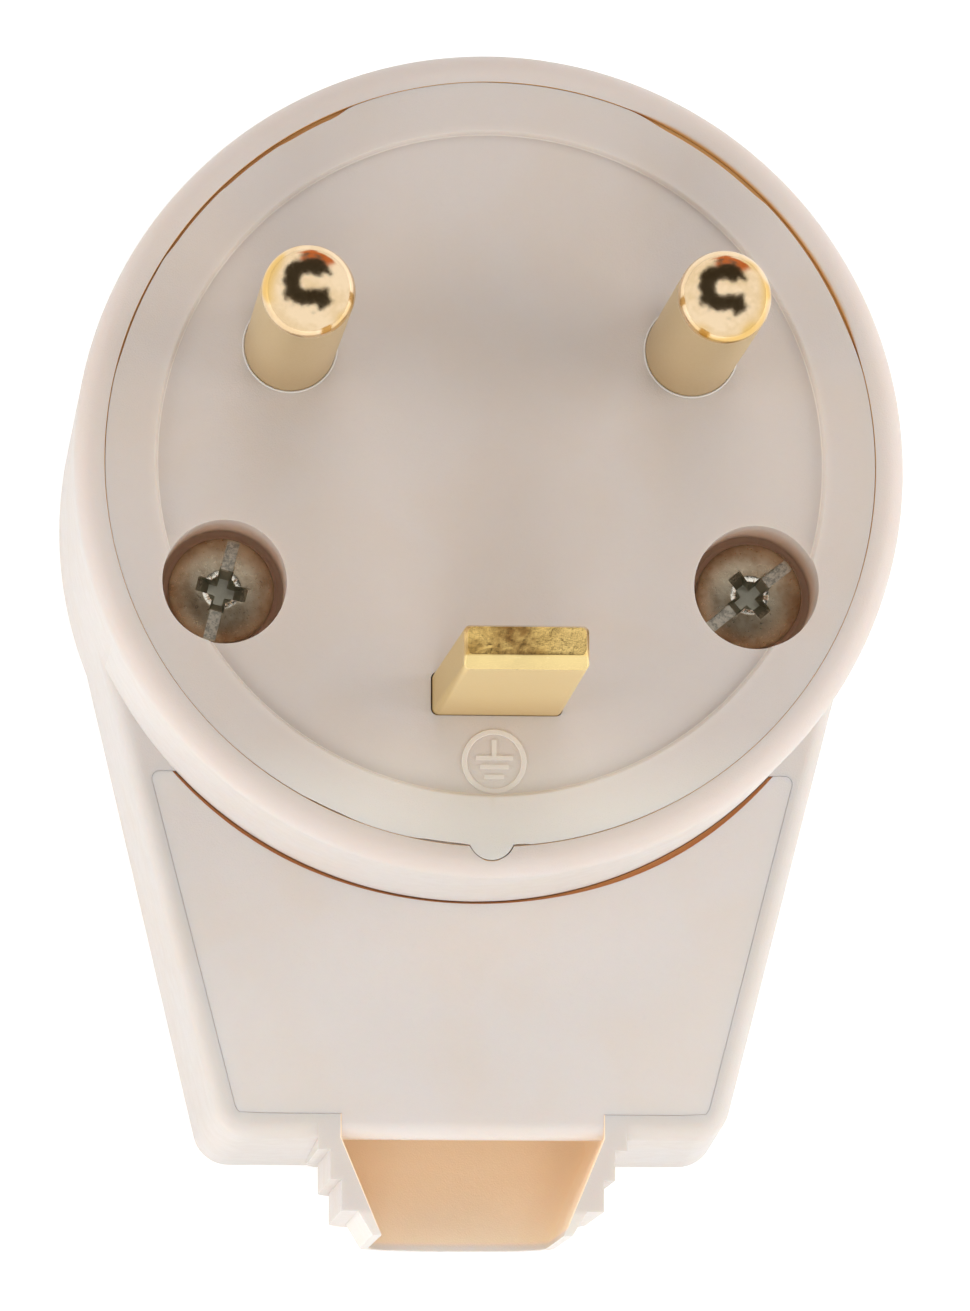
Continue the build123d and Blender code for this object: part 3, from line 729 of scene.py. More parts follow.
housing = {
    "bodyRadius": 27.4, "bodyHeight": 35.0, "boreRadius": 25.4, "floor": 2.2,
    "rimFillet": 1.5, "backFillet": 2.0, "boreEdge": 0.05,
    "armSideRadius": 27.1, "armHeight": 19.3, "armEnd": 43.3, "endHalfFlat": 14.85,
    "cornerRadius": 2.5, "endDraft": 0.7, "armEdge": 1.1, "armWall": 2.7,
    "pocketFrame": 1.35, "pocketEnd": 41.7, "pocketFloor": 17.3, "pocketTop": 18.75, "pocketCorner": 0.52,
    "ringEnds": (44.1, 46.1, 48.2), "ringHalfWidths": (10.35, 9.55, 8.8),
    "lipHalfWidth": 7.85, "lipEndHalfWidth": 6.7, "outletEnd": 49.8,
    "outletBottom": 0.3, "outletBottomStep": 0.25, "outletRise": 1.6, "outletCorner": 4.2,
    "channelHalfWidth": 8.8, "channelEndHalfWidth": 5.9, "channelRise": 1.2, "channelCorner": 3.0,
    "keyPlace": (0.02, -24.78), "keyRadius": 1.56, "edge": 0.05,
    "keyPocketFrom": 31.5, "ringOverlap": 0.3, "pastOutlet": 0.5, "channelReach": 0.5,
    "tightCorner": 0.3,  # where the arm's inner walls meet
    # the bore's mouth is rounded off over one arc, in degrees
    "mouthArc": (16, 70), "mouthFade": 8, "mouthFrom": 34.72, "mouthStep": 0.06, "mouthWidth": 0.30,
}
h = housing


def sideTurn(cx, cy):
    # direction in which the arm's straight side faces, from the place of its corner
    return atan2(cy, cx) + acos((h["armSideRadius"] - h["cornerRadius"]) / hypot(cx, cy))


def armOutline(inset, draft, cornerSteps=10, sideSteps=48):
    # hull of the body's circle and the two corner circles, all drawn in by the inset
    cx, cy = h["endHalfFlat"] + draft, h["cornerRadius"] - h["armEnd"] - draft
    big, small = h["armSideRadius"] - inset, h["cornerRadius"] - inset
    tangent = sideTurn(cx, cy)
    if small < h["tightCorner"]:
        # the inset is deeper than the corner: a tight one where the two inner walls meet
        small = h["tightCorner"]
        cy = inset - h["armEnd"] - draft + small
        cx = (big - small - sin(tangent) * cy) / cos(tangent)
    points = []
    for i in range(cornerSteps + 1):
        a = -pi / 2 + (tangent + pi / 2) * i / cornerSteps
        points.append((cx + small * cos(a), cy + small * sin(a)))
    for i in range(sideSteps + 1):
        a = tangent + (pi - 2 * tangent) * i / sideSteps
        points.append((big * cos(a), big * sin(a)))
    for i in range(cornerSteps + 1):
        a = pi - tangent + (tangent + pi / 2) * i / cornerSteps
        points.append((-cx + small * cos(a), cy + small * sin(a)))
    return points


def armLevel(z, inset):
    draft = h["endDraft"] * (1 - z / h["armHeight"])
    return [(x, y, z) for x, y in armOutline(inset, draft)]


def armBlock():
    turns = [radians(90 * i / 8) for i in range(9)]
    back, edge = h["backFillet"], h["armEdge"]
    rings = [armLevel(back * (1 - cos(a)), back * (1 - sin(a))) for a in turns]
    rings += [armLevel(h["armHeight"] - edge * (1 - sin(a)), edge * (1 - cos(a))) for a in turns]
    return stackRings("arm", rings)


def troughSection(y, half, bottom, rise, corner, top, steps=8):
    # closed section across the outlet, straight at the top and rounded at the bottom
    large = (half * half + rise * rise) / (2 * rise)
    centre = bottom + large
    cx = half - corner
    cz = centre - sqrt((large - corner) ** 2 - cx ** 2)
    turn = atan2(cz - centre, cx)
    right = [(half, top)]
    for i in range(steps + 1):
        a = turn * i / steps
        right.append((cx + corner * cos(a), cz + corner * sin(a)))
    for i in range(1, 5):
        a = turn + (-pi / 2 - turn) * i / 5
        right.append((large * cos(a), centre + large * sin(a)))
    points = right + [(0, bottom)] + [(-x, z) for x, z in reversed(right)]
    return [(x, -y, z) for x, z in points]


def outletRings():
    pieces = []
    start, bottom = h["armEnd"] - h["armWall"], h["outletBottom"]
    for end, half in zip(h["ringEnds"], h["ringHalfWidths"]):
        rings = [troughSection(y, half, bottom, h["outletRise"], h["outletCorner"], h["armHeight"])
                 for y in (start, end)]
        pieces.append(stackRings("ring", rings))
        start, bottom = end - h["ringOverlap"], bottom + h["outletBottomStep"]
    rings = [troughSection(y, half, bottom, h["outletRise"], h["outletCorner"], h["armHeight"])
             for y, half in ((start, h["lipHalfWidth"]), (h["outletEnd"], h["lipEndHalfWidth"]))]
    pieces.append(stackRings("lip", rings))
    return pieces


def pocketOutline(inset, top, corner):
    # straight-sided part of the outline below the level called top, with rounded upper corners
    cx, cy = h["endHalfFlat"], h["cornerRadius"] - h["armEnd"]
    tangent = sideTurn(cx, cy)
    nx, ny = cos(tangent), sin(tangent)
    small = h["cornerRadius"] - inset
    sideAt = h["armSideRadius"] - inset - corner
    yc = top - corner
    xc = (sideAt - ny * yc) / nx
    endLine = inset - h["pocketFrame"] - h["pocketEnd"]
    right = [(cx - 1, endLine)]
    for i in range(13):
        a = -pi / 2 + (tangent + pi / 2) * i / 12
        if cy + small * sin(a) > endLine + 0.01:
            right.append((cx + small * cos(a), cy + small * sin(a)))
    for i in range(9):
        a = tangent + (pi / 2 - tangent) * i / 8
        right.append((xc + corner * cos(a), yc + corner * sin(a)))
    return right + [(-x, y) for x, y in reversed(right)]


def prism(name, outline, low, high):
    return stackRings(name, [[(x, y, z) for x, y in outline] for z in (low, high)])


def disc(name, radius, low, high, place=(0, 0), count=64):
    return lathe(name, [(0, low), (radius, low), (radius, high), (0, high)], count, place)


bodyProfile = [(0, 0)]
fillet = h["backFillet"]
bodyProfile += roundEdge(fillet, (h["bodyRadius"] - fillet, fillet), -90, 0, 8)
fillet = h["rimFillet"]
bodyProfile += roundEdge(fillet, (h["bodyRadius"] - fillet, h["bodyHeight"] - fillet), 0, 90, 9)
bodyProfile += [(0, h["bodyHeight"])]
rearHousing = lathe("rearHousing", bodyProfile, 240)
combine(rearHousing, [armBlock()] + outletRings(), "UNION")


def boreMouth(radius, height, angle):
    # the mouth of the bore is rounded off over one arc at the upper right
    degree = angle * 180 / pi
    share = min(1, max(0, min(degree - h["mouthArc"][0], h["mouthArc"][1] - degree) / h["mouthFade"]))
    climb = min(1, max(0, (height - h["mouthFrom"]) / (h["bodyHeight"] - h["mouthFrom"])))
    return radius + h["mouthWidth"] * share * climb * climb if radius else radius


boreProfile = [(0, h["floor"]), (h["boreRadius"], h["floor"])]
boreProfile += [(h["boreRadius"], h["mouthFrom"] + h["mouthStep"] * i) for i in range(4)]
boreProfile += [(h["boreRadius"] + h["boreEdge"] - x, z) for x, z in
                roundEdge(h["boreEdge"], (0, h["bodyHeight"] - h["boreEdge"]), 0, 90, 3)]
boreProfile += [(h["boreRadius"] + h["boreEdge"], h["bodyHeight"] + past), (0, h["bodyHeight"] + past)]
bore = lathe("bore", boreProfile, 240, radiusAt=boreMouth)
cavity = prism("cavity", armOutline(h["armWall"], 0), h["floor"], h["pocketFloor"])
pocket = prism("pocket", pocketOutline(h["pocketFrame"], -h["pocketTop"], h["pocketCorner"]),
               h["pocketFloor"], h["armHeight"] + past)
combine(pocket, [disc("round", h["bodyRadius"], 0, clearTop, count=240)], "DIFFERENCE")
channel = stackRings("channel", [
    troughSection(y, half, h["floor"], h["channelRise"], h["channelCorner"], h["armHeight"] + past)
    for y, half in ((h["armEnd"] - h["armWall"] - h["channelReach"], h["channelHalfWidth"]),
                    (h["armEnd"], h["channelHalfWidth"]),
                    (h["outletEnd"] + h["pastOutlet"], h["channelEndHalfWidth"]))
])
keyPocket = disc("keyPocket", h["keyRadius"], h["keyPocketFrom"], clearTop, h["keyPlace"], 40)
combine(rearHousing, [bore, cavity, pocket, channel, keyPocket], "DIFFERENCE")
print("stage: housing cut,", len(rearHousing.data.polygons), "faces")


inside = {
    "root": 2.0,  # all of these grow from a little below the floor
    "seatRibAngles": (20, 70, 110, 160), "seatRibReach": 1.8, "ribWidth": 1.6, "seatRibTop": 27.0, "intoWall": 1.0,
    "screwPlace": (17.5, -8.05), "screwBoss": 4.0, "screwBossTop": 26.6, "screwPilot": 1.85, "screwPilotEnd": 9.6,
    "clampPlace": (9.5, -33.0), "clampBoss": 3.2, "clampBossTop": 9.5, "clampPilot": 1.55, "clampPilotEnd": 3.0,
    "gripHalf": 7.5, "gripWidth": 1.2, "gripTop": 3.8, "gripSpacing": 4.0,
}


def bar(name, start, end, width, low, high):
    # upright bar between two points in plan
    along = (Vector(end) - Vector(start)).normalized()
    across = Vector((-along.y, along.x)) * width / 2
    outline = [Vector(start) - across, Vector(end) - across, Vector(end) + across, Vector(start) + across]
    return prism(name, [(p.x, p.y) for p in outline], low, high)


fittings = []
wallMiddle = h["boreRadius"] + inside["intoWall"]
for degree in inside["seatRibAngles"]:
    way = Vector((cos(radians(degree)), sin(radians(degree))))
    fittings.append(bar("rib", way * (h["boreRadius"] - inside["seatRibReach"]), way * wallMiddle,
                        inside["ribWidth"], inside["root"], inside["seatRibTop"]))
for side in (-1, 1):
    x, y = side * inside["screwPlace"][0], inside["screwPlace"][1]
    boss = disc("boss", inside["screwBoss"], inside["root"], inside["screwBossTop"], (x, y), 48)
    way = Vector((x, y)).normalized()
    rib = bar("rib", Vector((x, y)), way * wallMiddle, inside["ribWidth"], inside["root"], inside["screwBossTop"])
    combine(boss, [rib], "UNION")
    pilot = disc("pilot", inside["screwPilot"], inside["screwPilotEnd"], clearTop, (x, y), 32)
    fittings.append(combine(boss, [pilot], "DIFFERENCE"))
    x, y = side * inside["clampPlace"][0], inside["clampPlace"][1]
    boss = disc("boss", inside["clampBoss"], inside["root"], inside["clampBossTop"], (x, y), 40)
    pilot = disc("pilot", inside["clampPilot"], inside["clampPilotEnd"], clearTop, (x, y), 32)
    fittings.append(combine(boss, [pilot], "DIFFERENCE"))
    y += side * inside["gripSpacing"] / 2
    fittings.append(block("grip", (-inside["gripHalf"], y - inside["gripWidth"] / 2, inside["root"]),
                          (inside["gripHalf"], y + inside["gripWidth"] / 2, inside["gripTop"])))
combine(rearHousing, fittings, "UNION")
softenEdges(rearHousing, h["edge"], 50)
finishPiece(rearHousing, housingPlastic, ("rear_housing",))
print("stage: housing,", len(rearHousing.data.polygons), "faces")


lid = {
    "clearance": 0.02, "bottom": 17.3, "corner": 0.50, "tongueHalf": 8.79, "tongueRoot": 2.6, "edge": 0.04,
    "lipRadius": 27.45, "lipTop": 19.08,
    # gap to the round body, and where it swells: middle in degrees, depth and width
    "gap": 0.14, "gapSwells": ((-121, 0.15, 17), (-61, 0.29, 17)),
    "tabX": 9.0, "tabHalf": 2.5, "tabTop": 17.2, "tabBottom": 16.0, "tabEnd": -25.0, "tabBack": -29.0,
    "rootEnd": -27.95, "rootLow": 16.8, "rootTop": 17.6,
    "latchX": 12.0, "latchHalf": 2.0, "latchBack": -40.5, "latchWall": 1.2, "latchEnd": 10.8, "latchTop": 17.8,
    "hookReach": 0.7, "hookHeight": 1.6,
}
armCover = prism("armCover", pocketOutline(h["pocketFrame"] + lid["clearance"], -h["pocketTop"] - lid["clearance"],
                                           lid["corner"]), lid["bottom"], h["armHeight"])
edge, tongueRoot = h["armEdge"], lid["tongueRoot"] - h["armEnd"]
tongueSide = [(tongueRoot, lid["bottom"]), (-h["armEnd"], lid["bottom"])]
tongueSide += roundEdge(edge, (edge - h["armEnd"], h["armHeight"] - edge), 180, 90, 8)
tongueSide += [(tongueRoot, h["armHeight"])]
tongue = stackRings("tongue", [[(x, y, z) for y, z in tongueSide] for x in (-lid["tongueHalf"], lid["tongueHalf"])])
combine(armCover, [tongue], "UNION")


def gapRadius(radius, height, angle):
    # the gap to the round body swells at two places, more on the right than on the left
    degree = angle * 180 / pi - 360
    swell = sum(depth * exp(-((degree - middle) / width) ** 2) for middle, depth, width in lid["gapSwells"])
    return radius + swell


gapCutter = lathe("gap", [(0, lid["lipTop"]), (h["bodyRadius"] + lid["gap"], lid["lipTop"]),
                          (h["bodyRadius"] + lid["gap"], clearTop), (0, clearTop)], 360, radiusAt=gapRadius)
combine(armCover, [disc("round", lid["lipRadius"], 0, clearTop, count=240), gapCutter], "DIFFERENCE")
# outline of a latch across the arm: its wall, and the hook at its end
latchWall, latchBack = lid["latchBack"] + lid["latchWall"], lid["latchBack"]
hookTop = lid["latchEnd"] + lid["hookHeight"]
latchSide = [(latchWall, lid["latchTop"]), (latchWall, lid["latchEnd"]), (latchBack, lid["latchEnd"]),
             (latchBack - lid["hookReach"], hookTop), (latchBack, hookTop), (latchBack, lid["latchTop"])]
for side in (-1, 1):
    low, high = side * lid["tabX"] - lid["tabHalf"], side * lid["tabX"] + lid["tabHalf"]
    tab = block("tab", (low, lid["tabBack"], lid["tabBottom"]), (high, lid["tabEnd"], lid["tabTop"]))
    root = block("root", (low, lid["tabBack"], lid["rootLow"]), (high, lid["rootEnd"], lid["rootTop"]))
    low, high = side * lid["latchX"] - lid["latchHalf"], side * lid["latchX"] + lid["latchHalf"]
    hook = stackRings("hook", [[(x, y, z) for y, z in latchSide] for x in (low, high)])
    combine(armCover, [tab, root, hook], "UNION")
softenEdges(armCover, lid["edge"], 50)
finishPiece(armCover, coverPlastic, ("arm_cover",))
print("stage: arm cover,", len(armCover.data.polygons), "faces")


plate = {
    "radius": 25.37, "shelf": 25.39, "shelfTop": 34.72, "top": 35.0, "back": 31.5,
    # degrees where the rim's relief starts and ends, and how deep it is; below zero it fills the joint
    "reliefFrom": 24.5,
    "reliefArcs": ((14, 52, 0.13), (40, 69, 0.25), (111, 126, 0.27), (118, 138, 0.20), (130, 150, 0.14),
                   (146, 168, 0.07), (88, 112, -0.025), (177, 241, -0.025), (249, 259, -0.025), (289, 353, -0.025),
                   (241, 249, 0.05), (258.5, 267.5, 0.09), (272.5, 275.5, 0.09)),
    "skirtEnd": 27.0, "skirtWall": 1.5, "edge": 0.05, "recess": 22.08, "recessFloor": 34.5,
    # the recess's slope: points out from its radius, down from the top, and then up from its floor
    "slopeTop": ((0.12, 0), (0.04, 0.03), (-0.02, 0.1)), "slopeFoot": ((-0.13, 0.08), (-0.16, 0.03), (-0.22, 0)),
    "keyPlace": (0, -24.78), "keyRadius": 1.5, "keySkirt": 1.54, "bossRadius": 4.0, "bossEnd": 29.65,
    "screwPlace": (17.5, -8.05), "wellRadius": 4.1, "wellOutside": 5.3, "wellSeat": 28.6, "wellEnd": 26.6,
    "wellRoot": 0.4, "wellCorner": 0.3, "shankHole": 2.1, "pilot": 1.55, "pilotEnd": 33.1,
    "pinPlace": (13.25, 7.65), "pinHole": 3.05, "pinSeat": 3.02, "pinSeatTop": 34.47,
    "beadRadii": (3.012, 3.16), "beadTop": 34.57, "beadEdge": 34.52,
    "slotPlace": (0.38, -15.3), "slotHalf": (4.33, 1.44), "slotCorner": 0.45,
    # protective earth sign: a ring and four bars, each with its middle and half its size
    "signPlace": (0.2, -19.76), "signRadii": (1.78, 2.13), "signTop": 34.58, "signRoot": 34.4, "signEdge": 0.03,
    "signBars": ((0.0, 0.82, 0.15, 0.62), (0.03, 0.23, 1.21, 0.15), (0.02, -0.36, 0.94, 0.15),
                 (0.0, -1.02, 0.65, 0.15)),
    "barCorner": 0.05, "barStep": 0.004,
}
p = plate


def rimRadius(radius, height, angle):
    # the rim is relieved over a few arcs, which leaves the wider gaps beside it
    degree = angle * 180 / pi
    relief = 0
    if p["reliefFrom"] < radius < p["shelf"] - 0.005 and height > p["shelfTop"] - 0.001:
        for start, end, depth in p["reliefArcs"]:
            share = min(1, max(0, 4 * min(degree - start, end - degree) / (end - start)))
            relief = max(relief, depth * share * share * (3 - 2 * share), key=abs)
    return radius - relief


plateProfile = [(0, p["bossEnd"]), (p["bossRadius"], p["bossEnd"]), (p["bossRadius"], p["back"])]
plateProfile += [(p["radius"] - p["skirtWall"], p["back"]), (p["radius"] - p["skirtWall"], p["skirtEnd"])]
plateProfile += [(p["shelf"], p["skirtEnd"]), (p["shelf"], p["shelfTop"]), (p["radius"], p["shelfTop"])]
plateProfile += roundEdge(p["edge"], (p["radius"] - p["edge"], p["top"] - p["edge"]), 0, 90, 3)
plateProfile += [(p["recess"] + out, p["top"] - down) for out, down in p["slopeTop"]]
plateProfile += [(p["recess"] + out, p["recessFloor"] + up) for out, up in p["slopeFoot"]]
plateProfile += [(0, p["recessFloor"])]
facePlate = lathe("facePlate", plateProfile, 360, radiusAt=rimRadius)
keyProfile = [(0, p["back"]), (p["keySkirt"], p["back"]), (p["keySkirt"], p["shelfTop"])]
keyProfile += [(p["keyRadius"], p["shelfTop"])]
keyProfile += roundEdge(p["edge"], (p["keyRadius"] - p["edge"], p["top"] - p["edge"]), 0, 90, 3) + [(0, p["top"])]
key = lathe("key", keyProfile, 48, p["keyPlace"])
outsides = [disc("well", p["wellOutside"], p["wellEnd"], p["back"] + p["wellRoot"],
                 (side * p["screwPlace"][0], p["screwPlace"][1]), 64) for side in (-1, 1)]
combine(facePlate, [key] + outsides, "UNION")
cutters = []
for side in (-1, 1):
    place = (side * p["screwPlace"][0], p["screwPlace"][1])
    wide, corner, low = p["wellRadius"], p["wellCorner"], p["wellEnd"] - past
    profile = [(0, low), (p["shankHole"], low), (p["shankHole"], p["wellSeat"]), (wide - corner, p["wellSeat"]),
               (wide, p["wellSeat"] + corner), (wide, p["recessFloor"] - corner), (wide, clearTop), (0, clearTop)]
    cutters.append(lathe("well", profile, 96, place))
    low = p["back"] - past
    profile = [(0, low), (p["pinSeat"], low), (p["pinSeat"], p["pinSeatTop"]), (p["pinHole"], p["pinSeatTop"]),
               (p["pinHole"], clearTop), (0, clearTop)]
    cutters.append(lathe("pinHole", profile, 72, (side * p["pinPlace"][0], p["pinPlace"][1])))
cutters.append(stackRings("slot", [roundedSection(z, *p["slotHalf"], p["slotCorner"], *p["slotPlace"])
                                   for z in (p["back"] - past, clearTop)]))
cutters.append(disc("pilot", p["pilot"], p["bossEnd"] - past, p["pilotEnd"], count=32))
combine(facePlate, cutters, "DIFFERENCE")
softenEdges(facePlate, p["edge"], 50)

# the sign and the beads round the pins are raised a little from the recess
signX, signY = p["signPlace"]
low, high, edge = p["signRoot"], p["signTop"], p["signEdge"]
for i, (x, y, halfX, halfY) in enumerate(p["signBars"]):
    # no two bars end at one level, which keeps the joins clean
    signBar = stackRings("bar", [roundedSection(z, halfX, halfY, p["barCorner"], signX + x, signY + y)
                                 for z in (low, high - p["barStep"] * i)])
    combine(facePlate, [signBar], "UNION")
inner, outer = p["signRadii"]
raised = [lathe("signRing", [(inner, low), (outer, low), (outer, high - edge), (outer - edge, high),
                             (inner + edge, high), (inner, high - edge)], 96, p["signPlace"], closed=True)]
inner, outer = p["beadRadii"]
beadProfile = [(inner, low), (outer, low), (outer, p["beadEdge"]), ((inner + outer) / 2, p["beadTop"]),
               (inner, p["beadEdge"])]
for side in (-1, 1):
    raised.append(lathe("bead", beadProfile, 96, (side * p["pinPlace"][0], p["pinPlace"][1]), closed=True))
combine(facePlate, raised, "UNION")
finishPiece(facePlate, facePlastic, ("face_plate",))
print("stage: face plate,", len(facePlate.data.polygons), "faces")


pin = {
    "radius": 3.0, "middle": 45.0, "top": 56.9, "crown": 4.5, "edge": 1.4,
    "places": {"left": (-13.25, 7.65), "right": (13.25, 7.65)},
    "base": 31.5, "flange": 4.9, "flangeBottom": 29.6,
    "pillar": 4.0, "pillarBottom": 14.6, "pillarEdge": 0.5, "wire": 2.3, "wireAt": 19.6, "wireReach": 6,
    "screwHole": 2.0,
}


def contactBase(name, place, tip):
    # flange and pillar below the face plate, with the holes for the wire and its screw
    profile = [(0, pin["pillarBottom"]), (pin["pillar"] - pin["pillarEdge"], pin["pillarBottom"]),
               (pin["pillar"], pin["pillarBottom"] + pin["pillarEdge"]), (pin["pillar"], pin["flangeBottom"]),
               (pin["flange"], pin["flangeBottom"]), (pin["flange"], pin["base"])] + tip
    piece = lathe(name, profile, 96, place)
    x, y = place
    hole = disc("hole", pin["wire"], -pin["wireReach"], pin["wireReach"], count=40)
    hole.data.transform(Matrix.Translation((x, y, pin["wireAt"])) @ Matrix.Rotation(pi / 2, 4, "X"))
    screwHole = disc("screwHole", pin["screwHole"], pin["pillarBottom"] - past, pin["wireAt"], place, 40)
    return combine(piece, [hole, screwHole], "DIFFERENCE")


def pinTip():
    # crown of one radius, blended into the shank by another
    r, crown, edge = pin["radius"], pin["crown"], pin["edge"]
    crownCentre = pin["top"] - crown
    edgeX = r - edge
    edgeZ = crownCentre + sqrt((crown - edge) ** 2 - edgeX ** 2)
    meet = atan2(edgeZ - crownCentre, edgeX) * 180 / pi
    points = roundEdge(edge, (edgeX, edgeZ), 0, meet, 10)
    points += roundEdge(crown, (0, crownCentre), meet, 90, 10)[1:-1]
    return points + [(0, pin["top"])]


for side, place in pin["places"].items():
    shaft = [(pin["radius"], pin["base"]), (pin["radius"], pin["middle"])]
    piece = contactBase(side + "Pin", place, shaft + pinTip())
    finishPiece(piece, pinBrass, (side + "_pin",))
print("stage: round pins")


blade = {
    "place": (0, -15.3), "shift": 0.4, "rootHalf": 4.3, "tipHalf": 3.95, "halfThick": 1.4,
    "top": 58.2, "bottom": 30.6, "corner": 0.42, "middles": (36.0, 45.0, 54.0),
    "tipDrop": 0.66, "tipFront": 0.90, "tipBack": 0.16, "tipSides": 0.20,
}


def bladeHalf(z):
    share = (z - pin["base"]) / (blade["top"] - pin["base"])
    return blade["rootHalf"] + (blade["tipHalf"] - blade["rootHalf"]) * share


# the tip has a wide flat bevel along its front edge and narrow ones along the others
bx, by = blade["place"][0] + blade["shift"], blade["place"][1]
tipRoot = blade["top"] - blade["tipDrop"]
levels = [(z, 0.0) for z in (blade["bottom"], *blade["middles"], tipRoot)]
levels += [(tipRoot + 0.06, 0.04), (blade["top"] - 0.03, 0.94), (blade["top"], 1.0)]
rings = []
for z, worn in levels:
    front, back = blade["tipFront"] * worn, blade["tipBack"] * worn
    rings.append(roundedSection(z, bladeHalf(z) - blade["tipSides"] * worn, blade["halfThick"] - (front + back) / 2,
                                blade["corner"], bx, by + (front - back) / 2))
flat = stackRings("flat", rings)
earthBlade = contactBase("earthBlade", blade["place"], [(0, pin["base"])])
combine(earthBlade, [flat], "UNION")
finishPiece(earthBlade, bladeBrass, ("earth_blade",))
print("stage: earth blade")


def screwTree():
    g = ShapeTree("screwTree")
    shankRadius, shankLength = g.input("Shank Radius"), g.input("Shank Length")
    pitch, threadDepth = g.input("Thread Pitch"), g.input("Thread Depth")
    headRadius, headHeight, dome = g.input("Head Radius"), g.input("Head Height"), g.input("Dome Height")
    slotWidth, slotDepth = g.input("Slot Width"), g.input("Slot Depth")
    withCross = g.input("With Cross", "Bool")
    crossLength, crossWidth, crossDepth = g.input("Cross Length"), g.input("Cross Width"), g.input("Cross Depth")
    turn, material = g.input("Turn", "Vector"), g.input("Material", "Material")

    def where():
        return axes(g, g.add("GeometryNodeInputPosition").outputs[0])

    # head: a cylinder whose top is lifted to a dome
    edge = g.math("SUBTRACT", headHeight, dome)
    head = g.add("GeometryNodeMeshCylinder", Vertices=80, Radius=headRadius, Depth=edge)
    head.inputs["Fill Segments"].default_value = 12
    head = g.move(head.outputs[0], g.vector(z=g.math("DIVIDE", edge, 2.0)))
    x, y, z = where()
    share = g.math("DIVIDE", g.distance(x, y), headRadius)
    quarter = g.math("MULTIPLY", share, pi / 2)
    spread = g.math("DIVIDE", g.math("SINE", quarter), share)
    lifted = g.vector(g.math("MULTIPLY", x, spread), g.math("MULTIPLY", y, spread),
                      g.math("ADD", edge, g.math("MULTIPLY", dome, g.math("COSINE", quarter))))
    onTop = g.math("GREATER_THAN", z, g.math("SUBTRACT", edge, 0.01))
    head = g.add("GeometryNodeSetPosition", Geometry=head, Selection=onTop, Position=lifted).outputs[0]

    # slot, wings and the cone between the wings, all cut from the head
    top = g.vector(z=headHeight)
    slot = g.add("GeometryNodeMeshCube", Size=g.vector(g.math("MULTIPLY", headRadius, 2.5), slotWidth,
                                                       g.math("MULTIPLY", slotDepth, 2.0))).outputs[0]
    slot = g.move(slot, top)
    wings = []
    for angle in (0.0, pi / 2):
        wing = g.add("GeometryNodeMeshCube",
                     Size=g.vector(crossLength, crossWidth, g.math("MULTIPLY", crossDepth, 2.0)))
        x, y, z = where()
        # narrower below the head's surface and as much wider above it
        tilt = g.math("DIVIDE", z, crossDepth)
        flared = g.vector(g.math("MULTIPLY", x, g.math("MULTIPLY_ADD", tilt, 0.50, 1.0)),
                          g.math("MULTIPLY", y, g.math("MULTIPLY_ADD", tilt, 0.34, 1.0)), z)
        wing = g.add("GeometryNodeSetPosition", Geometry=wing.outputs[0], Position=flared).outputs[0]
        wings.append(g.move(wing, top, g.vector(z=angle)))
    cones = []
    # radii below and above as shares of the cross's length, and depth as a share of its depth
    for low, high, drop in ((0.15, 0.32, 0.96), (0.27, 0.62, 0.14)):
        depth = g.math("MULTIPLY", crossDepth, drop + 0.2)
        cone = g.add("GeometryNodeMeshCone", Vertices=40, Depth=depth)
        g.put(cone, "Radius Bottom", g.math("MULTIPLY", crossLength, low))
        g.put(cone, "Radius Top", g.math("MULTIPLY", crossLength, high))
        sunk = g.math("SUBTRACT", headHeight, g.math("MULTIPLY", crossDepth, drop))
        cones.append(g.move(cone.outputs[0], g.vector(z=sunk)))

    def cut(shape, cutters):
        node = g.add("GeometryNodeMeshBoolean", {"operation": "DIFFERENCE", "solver": "EXACT"})
        g.tree.links.new(shape, node.inputs[0])
        for cutter in cutters:
            g.tree.links.new(cutter, node.inputs[1])
        return node.outputs[0]

    slotted = cut(head, [slot])
    crossed = cut(slotted, wings + cones)
    chosen = g.add("GeometryNodeSwitch", {"input_type": "GEOMETRY"}, Switch=withCross)
    g.put(chosen, "False", slotted)
    g.put(chosen, "True", crossed)

    # shank with a pointed end, and the thread wound round it
    core = g.math("SUBTRACT", shankRadius, threadDepth)
    shank = g.add("GeometryNodeMeshCylinder", Vertices=32, Radius=core, Depth=shankLength).outputs[0]
    x, y, z = where()
    atTip = g.math("LESS_THAN", z, 0.0)
    tip = g.vector(g.math("MULTIPLY", x, 0.45), g.math("MULTIPLY", y, 0.45), z)
    shank = g.add("GeometryNodeSetPosition", Geometry=shank, Selection=atTip, Position=tip).outputs[0]
    shank = g.move(shank, g.vector(z=g.math("MULTIPLY", shankLength, -0.499)))
    wound = g.math("MULTIPLY", shankLength, 0.72)
    spiral = g.add("GeometryNodeCurveSpiral", Resolution=20, Rotations=g.math("DIVIDE", wound, pitch), Height=wound)
    g.put(spiral, "Start Radius", core)
    g.put(spiral, "End Radius", core)
    ridge = g.add("GeometryNodeCurvePrimitiveCircle", Resolution=4, Radius=threadDepth)
    thread = g.add("GeometryNodeCurveToMesh", Curve=spiral.outputs[0], i1=ridge.outputs[0])
    thread.inputs["Fill Caps"].default_value = True
    thread = g.move(thread.outputs[0], g.vector(z=g.math("MULTIPLY", shankLength, -0.80)))
    g.finish([chosen.outputs[0], shank, thread], g.entry.outputs["Geometry"], turn, material)
    return g


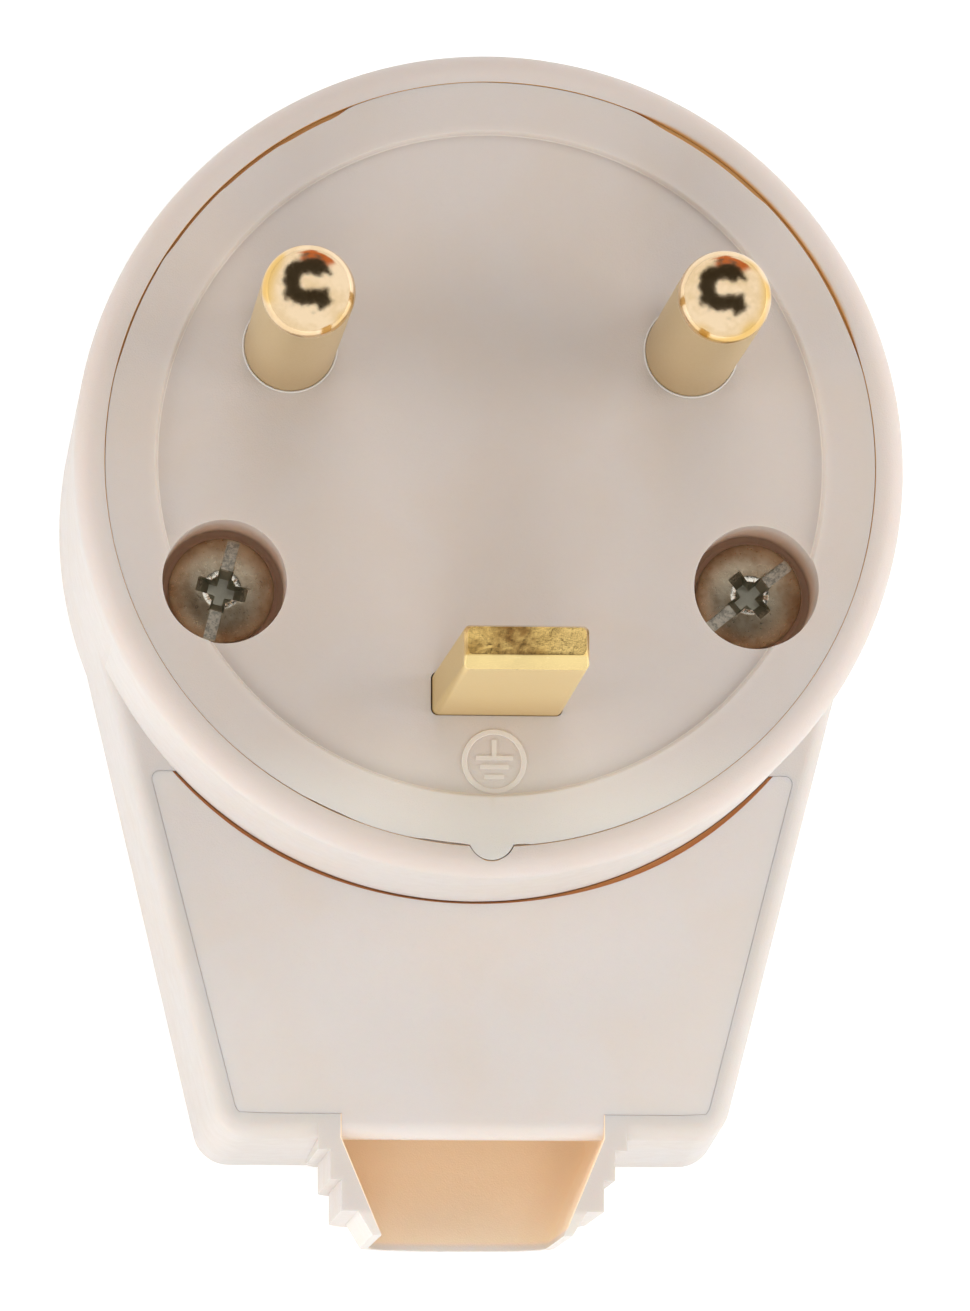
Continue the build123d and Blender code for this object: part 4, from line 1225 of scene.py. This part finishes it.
screwCut = {"Dome Height": 0.7, "Slot Width": 0.8, "Slot Depth": 0.7, "Thread Depth": 0.25, "With Cross": False,
            "Cross Length": 3.5, "Cross Width": 0.98, "Cross Depth": 1.4}
screws = {
    "housing": {"Shank Radius": 1.8, "Shank Length": 18.0, "Head Radius": 3.5, "Head Height": 2.1, "Thread Pitch": 1.6,
                "Slot Width": 0.82, "Slot Depth": 0.55, "With Cross": True},
    "terminal": {"Shank Radius": 1.95, "Shank Length": 3.2, "Head Radius": 3.2, "Head Height": 2.2,
                 "Thread Pitch": 0.7},
    "retainer": {"Shank Radius": 1.5, "Shank Length": 5.2, "Head Radius": 2.8, "Head Height": 1.7,
                 "Thread Pitch": 1.1},
    "clamp": {"Shank Radius": 1.5, "Shank Length": 8.5, "Head Radius": 2.8, "Head Height": 1.7, "Thread Pitch": 1.1},
}
screwPlaces = {
    # node: (kind, place, turn about X and Z in degrees)
    "left_housing_screw": ("housing", (-17.5, -8.05, 28.6), (0, steelLook["turns"]["left"])),
    "right_housing_screw": ("housing", (17.5, -8.05, 28.6), (0, steelLook["turns"]["right"])),
    "left_terminal_screw": ("terminal", (-13.25, 7.65, 14.6), (180, 20)),
    "right_terminal_screw": ("terminal", (13.25, 7.65, 14.6), (180, -50)),
    "earth_terminal_screw": ("terminal", (0, -15.3, 14.6), (180, 65)),
    "retainer_screw": ("retainer", (0, 0, 27.6), (180, 10)),
    "left_clamp_screw": ("clamp", (-9.5, -33.0, 12.5), (0, 30)),
    "right_clamp_screw": ("clamp", (9.5, -33.0, 12.5), (0, -12)),
}
screwEdge = 0.05
makeScrew = screwTree()
for node, (kind, place, turn) in screwPlaces.items():
    seat = bpy.data.meshes.new(node)
    seat.from_pydata([place], [], [])
    words = node.split("_")
    piece = bpy.data.objects.new(words[0] + "".join(word.capitalize() for word in words[1:]), seat)
    bpy.context.scene.collection.objects.link(piece)
    steel = housingScrewSteel if kind == "housing" else screwSteel
    turned = (radians(turn[0]), 0.0, radians(turn[1]))
    makeScrew.apply(piece, {**screwCut, **screws[kind], "Turn": turned, "Material": steel})
    softenEdges(piece, screwEdge, 45)
    finishPiece(piece, steel, (node,))
print("stage: screws")

for name in ("pin_retainer", "cord_clamp"):
    nodes[name].data.materials.clear()
    nodes[name].data.materials.append(innerPlastic)

print("stage: finished")
